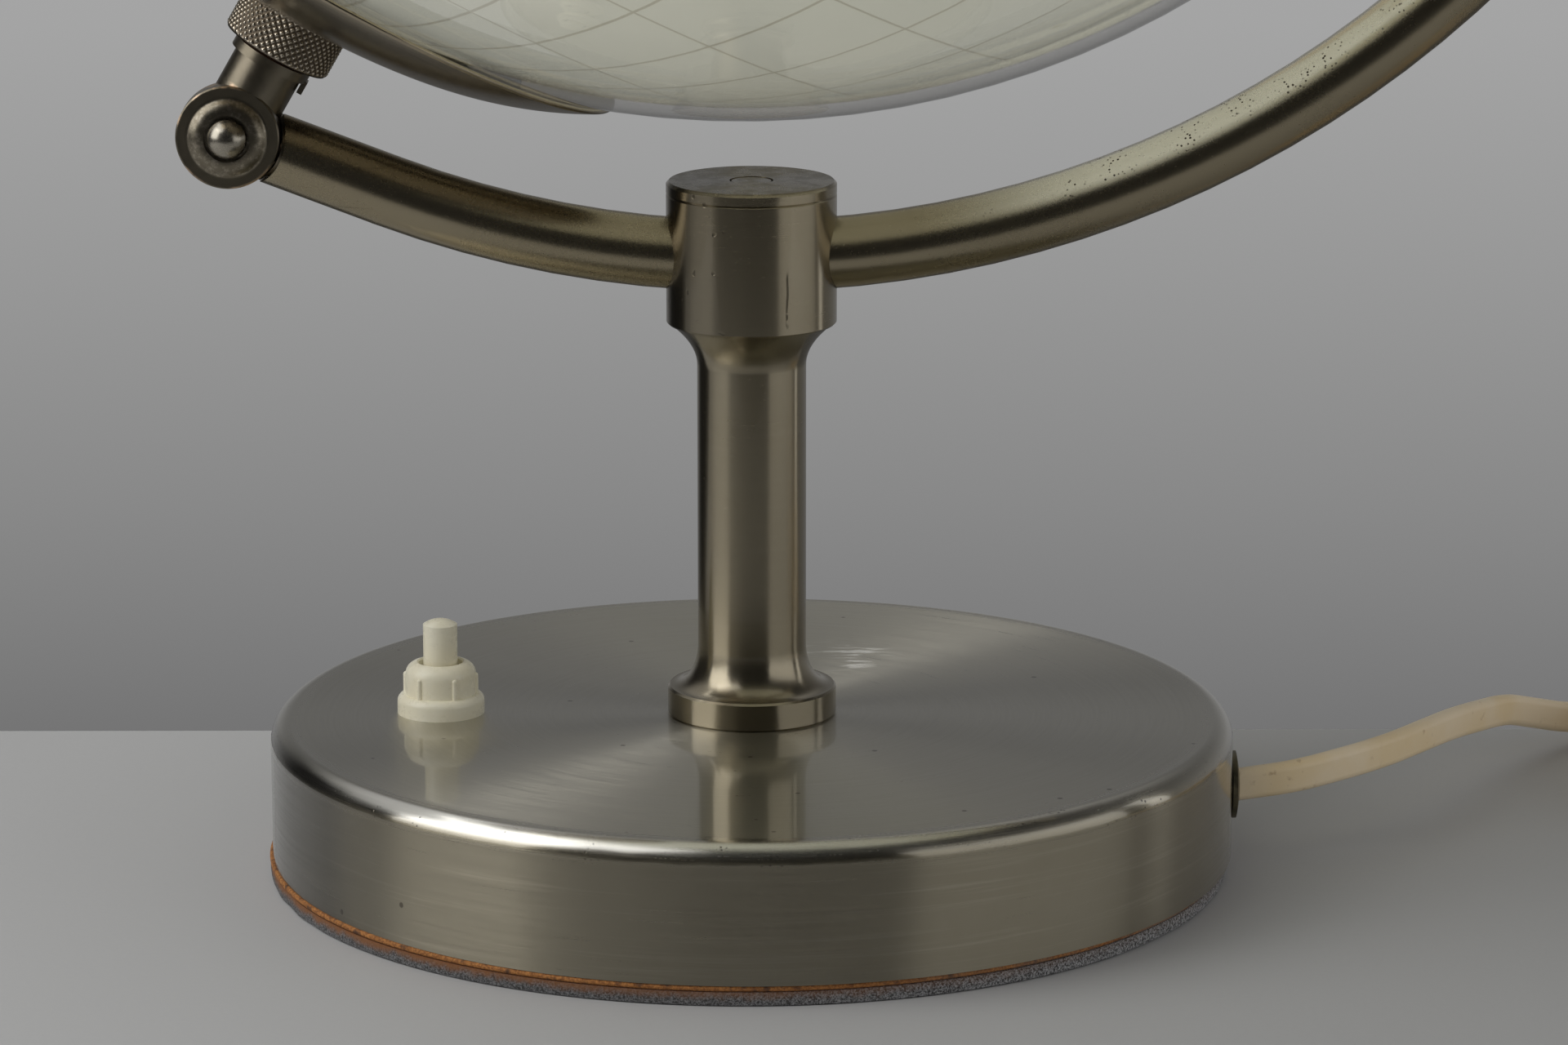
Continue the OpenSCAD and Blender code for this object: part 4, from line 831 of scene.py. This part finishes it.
def ribTree():
    tree = bpy.data.node_groups.new("ribsRound", "GeometryNodeTree")
    face = tree.interface
    face.new_socket("Geometry", in_out="INPUT", socket_type="NodeSocketGeometry")
    face.new_socket("Ribs", in_out="INPUT", socket_type="NodeSocketInt")
    for name in ("Radius", "Width", "Height", "Turn"):
        face.new_socket(name, in_out="INPUT", socket_type="NodeSocketFloat")
    face.new_socket("Place", in_out="INPUT", socket_type="NodeSocketVector")
    face.new_socket("Finish", in_out="INPUT", socket_type="NodeSocketMaterial")
    face.new_socket("Geometry", in_out="OUTPUT", socket_type="NodeSocketGeometry")
    t = Tree(tree)
    source = tree.nodes.new("NodeGroupInput")
    body, ribs, radius, width, height, turn, spot, finish = (Flow(t, source.outputs[i]) for i in range(8))
    ring = t.add("GeometryNodeMeshCircle", None, {"Vertices": ribs, "Radius": radius})
    ring = t.add("GeometryNodeTransform", None,
                 {"Geometry": ring, "Translation": spot, "Rotation": t.vector(0, 0, turn)})
    stem = t.add("GeometryNodeMeshCylinder", None, {"Vertices": 24, "Radius": width * 0.5, "Depth": height})
    stem = t.add("GeometryNodeTransform", None, {"Geometry": stem, "Translation": t.vector(0, 0, height * 0.5)})
    knob = t.add("GeometryNodeMeshUVSphere", None, {"Segments": 24, "Rings": 16, "Radius": width * 0.5})
    knob = t.add("GeometryNodeTransform", None, {"Geometry": knob, "Translation": t.vector(0, 0, height)})
    rib = t.join(stem, knob)
    around = t.add("GeometryNodeInstanceOnPoints", None, {"Points": ring, "Instance": rib})
    real = t.add("GeometryNodeRealizeInstances", None, {"Geometry": t.join(body, around)})
    done = t.add("GeometryNodeSetMaterial", None, {"Geometry": real, "Material": finish})
    sink = tree.nodes.new("NodeGroupOutput")
    tree.links.new(done.socket, sink.inputs[0])
    return tree


def roundEdge(radius, height, size, start, stop, step):
    # points on a rounded edge of a turned profile
    angles = [math.radians(a) for a in range(start, stop, step)]
    return [(radius - size + size * math.cos(a), height - size + size * math.sin(a)) for a in angles]


def switchNut():
    footR, footH, bodyR, height = nut["footR"], nut["footH"], nut["bodyR"], nut["height"]
    profile = [(nut["neck"], 0), (footR, 0), (footR, footH - nut["footRound"])]
    profile += roundEdge(footR, footH, nut["footRound"], 15, 91, 15)
    profile += [(bodyR, footH), (bodyR, height - nut["topRound"])]
    profile += roundEdge(bodyR, height, nut["topRound"], 12, 90, 13)
    profile += [(nut["hole"] + 0.3, height), (nut["hole"], height - 0.3), (nut["hole"], nut["neckTop"]),
                (nut["neck"], nut["neckTop"])]
    spot = Vector(nut["place"]) * mm
    body = lathe("switchNut", profile, Matrix.Translation(spot))
    values = {"Ribs": nut["ribs"], "Radius": (bodyR + nut["ribOut"] - nut["ribWidth"] / 2) * mm,
              "Width": nut["ribWidth"] * mm, "Height": (nut["ribHeight"] - nut["ribWidth"] / 2) * mm,
              "Turn": math.radians(nut["ribTurn"]), "Place": tuple(spot + Vector((0, 0, (footH - 0.5) * mm)))}
    grown = grow(body, ribTree(), values, finishes["switch_cream"])
    return place(evenShading(grown, 40), "switch_nut")


switchNut()
print("switch nut made")


# felt and plate: rims that aren't quite true

sheets = {
    "felt_pad": {"low": 0, "high": 2.78, "radius": 94.8, "shift": -0.8, "wobble": 0.5, "seed": 3},
    "bottom_plate": {"low": 2.8, "high": 3.98, "radius": 94.8, "shift": -0.8, "wobble": 0.25, "seed": 8},
}


def roughSheet(node, low, high, radius, shift, wobble, seed, steps=360):
    rng = np.random.default_rng(seed)
    waves = [(k, rng.normal() / k**0.6, rng.uniform(0, 2 * math.pi)) for k in range(2, 60)]
    rings = []
    for step in range(steps):
        a = 2 * math.pi * step / steps
        off = wobble * sum(size * math.sin(k * a + start) for k, size, start in waves) / 6
        edge = radius - max(off, 0)
        profile = [(0.5, low), (edge - 0.5, low), (edge - 0.12, low + 0.25), (edge, (low + high) / 2),
                   (edge - 0.12, high - 0.2), (edge - 0.4, high), (0.5, high)]
        rings.append([(shift + r * math.cos(a), r * math.sin(a), z) for r, z in profile])
    return place(evenShading(solid(plainName(node), *skin(rings, closed=True)), 50), node)


for node, sizes in sheets.items():
    roughSheet(node, **sizes)
print("felt and plate made")


# every other node keeps its CAD shape: merged and smooth where it shows

shown = ["base_shell", "column", "hub", "hub_plug", "meridian_arm", "arm_tip", "joint_arm_half",
         "joint_neck_half", "pivot_bolt", "pivot_nut", "tab_washer", "thrust_washer", "joint_washer",
         "cord_grommet", "switch_button", "switch_body", "glass_ball", "map_layer", "south_dish", "dish_gasket",
         "north_cap", "north_gasket", "north_spool", "north_axle", "north_knob", "axis_bush", "bulb_glass"]
for node in shown:
    refined(node, flats=node != "meridian_arm")

# the spring: a merged copy, shaded smooth, with a mesh of its own
spring = refined("switch_spring", 60)
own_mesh(spring)

for node, part in nodes.items():
    if not part.hide_render:
        paint(part, finishes[slotOf[node]])
print("CAD shapes finished")


# stage: a pale table whose back edge is just behind the base

def tone(value): return rgb(value, value, value)


stage = {"back": 0.0975, "front": -0.42, "half": 0.62, "thick": 0.03, "table": 0.56}


def tableTop():
    half, back, front, thick = stage["half"], stage["back"], stage["front"], stage["thick"]
    top = solid("tableTop", *skin([[(-half, y, 0), (half, y, 0), (half, y, -thick), (-half, y, -thick)]
                                   for y in (front, back)]), scale=1)
    finish = Finish("paleTable", Roughness=0.6)
    at = finish.here()
    grain = finish.noise(at, 900, 3)
    finish.set("Base Color", finish.blend(grain, tone(stage["table"] * 0.98), tone(stage["table"] * 1.02)))
    paint(top, finish.material)


tableTop()

lamps = {   # azimuth from the camera's side and height as angles, distance, width, height, radiance
    "leftBox": {"azimuth": -71, "up": 27, "far": 1.15, "size": (0.80, 0.88), "radiance": 2.1},
    "overheadLeft": {"azimuth": -56, "up": 55, "far": 1.4, "size": (0.9, 0.7), "radiance": 1.3},
    "overheadBack": {"azimuth": -122, "up": 66, "far": 1.4, "size": (0.95, 0.8), "radiance": 1.15},
    "rightCard": {"azimuth": 65, "up": 12, "far": 1.0, "size": (1.10, 0.60), "radiance": 0.80},
    "rightEdge": {"azimuth": 106, "up": 8, "far": 1.2, "size": (0.16, 0.9), "radiance": 1.0},
}
for name, lamp in lamps.items():
    azimuth, up = math.radians(lamp["azimuth"]), math.radians(lamp["up"])
    level = math.cos(up)
    toward = Vector((math.sin(azimuth) * level, -math.cos(azimuth) * level, math.sin(up))) * lamp["far"]
    data = bpy.data.lights.new(name, "AREA")
    data.shape = "RECTANGLE"
    data.size, data.size_y = lamp["size"]
    data.energy = lamp["radiance"] * math.pi * lamp["size"][0] * lamp["size"][1]
    made = bpy.data.objects.new(name, data)
    made.location = toward + Vector((0, 0, 0.05))
    made.rotation_euler = toward.to_track_quat("Z", "Y").to_euler()
    made.visible_camera = False
    bpy.context.scene.collection.objects.link(made)

# the world: a wall that pales upwards, and a darker room in front
roomTone = 0.165      # what dull surfaces get from all round
world = bpy.data.worlds.new("studio")
world.use_nodes = True
bpy.context.scene.world = world
world.node_tree.nodes.clear()
sky = Tree(world.node_tree)
dx, dy, dz = sky.parts(sky.add("ShaderNodeTexCoord", None, None, "Generated"))
# from straight down, 0, to straight up, 1
wallTones = {0.0: 0.10, 0.355: 0.14, 0.3675: 0.172, 0.386: 0.245, 0.405: 0.31, 0.427: 0.375, 0.5: 0.42,
             0.6: 0.30, 0.75: 0.14, 1.0: 0.05}
wallStops = [(height, tone(value)) for height, value in wallTones.items()]
wall = sky.add("ShaderNodeValToRGB", {"stops": wallStops}, {0: dz * 0.5 + 0.5})
# metal and glass see the wall only behind the stand, a little further round on the right
side = dx / (dx * dx + dy * dy + 1e-6).math("SQRT")
behind = (dy + side * 0.35).ease(0.45, 0.85)
around = sky.blend(behind * 0.62, tone(0.02), wall)
ceiling = dz.ease(0.35, 0.62) * dy.ease(-0.3, 0.1) * side.ease(0.7, 0.1)
around = sky.blend(ceiling, around, tone(0.42))
path = sky.nodeTree.nodes.new("ShaderNodeLightPath")
mirrored, seen = (Flow(sky, path.outputs[name]) for name in ("Is Glossy Ray", "Is Camera Ray"))
shine = sky.blend(seen, sky.blend(mirrored, tone(roomTone), around), wall)
background = sky.add("ShaderNodeBackground", None, {"Color": shine, "Strength": 1.0})
worldOut = world.node_tree.nodes.new("ShaderNodeOutputWorld")
world.node_tree.links.new(background.socket, worldOut.inputs["Surface"])
print("stage and lights made")
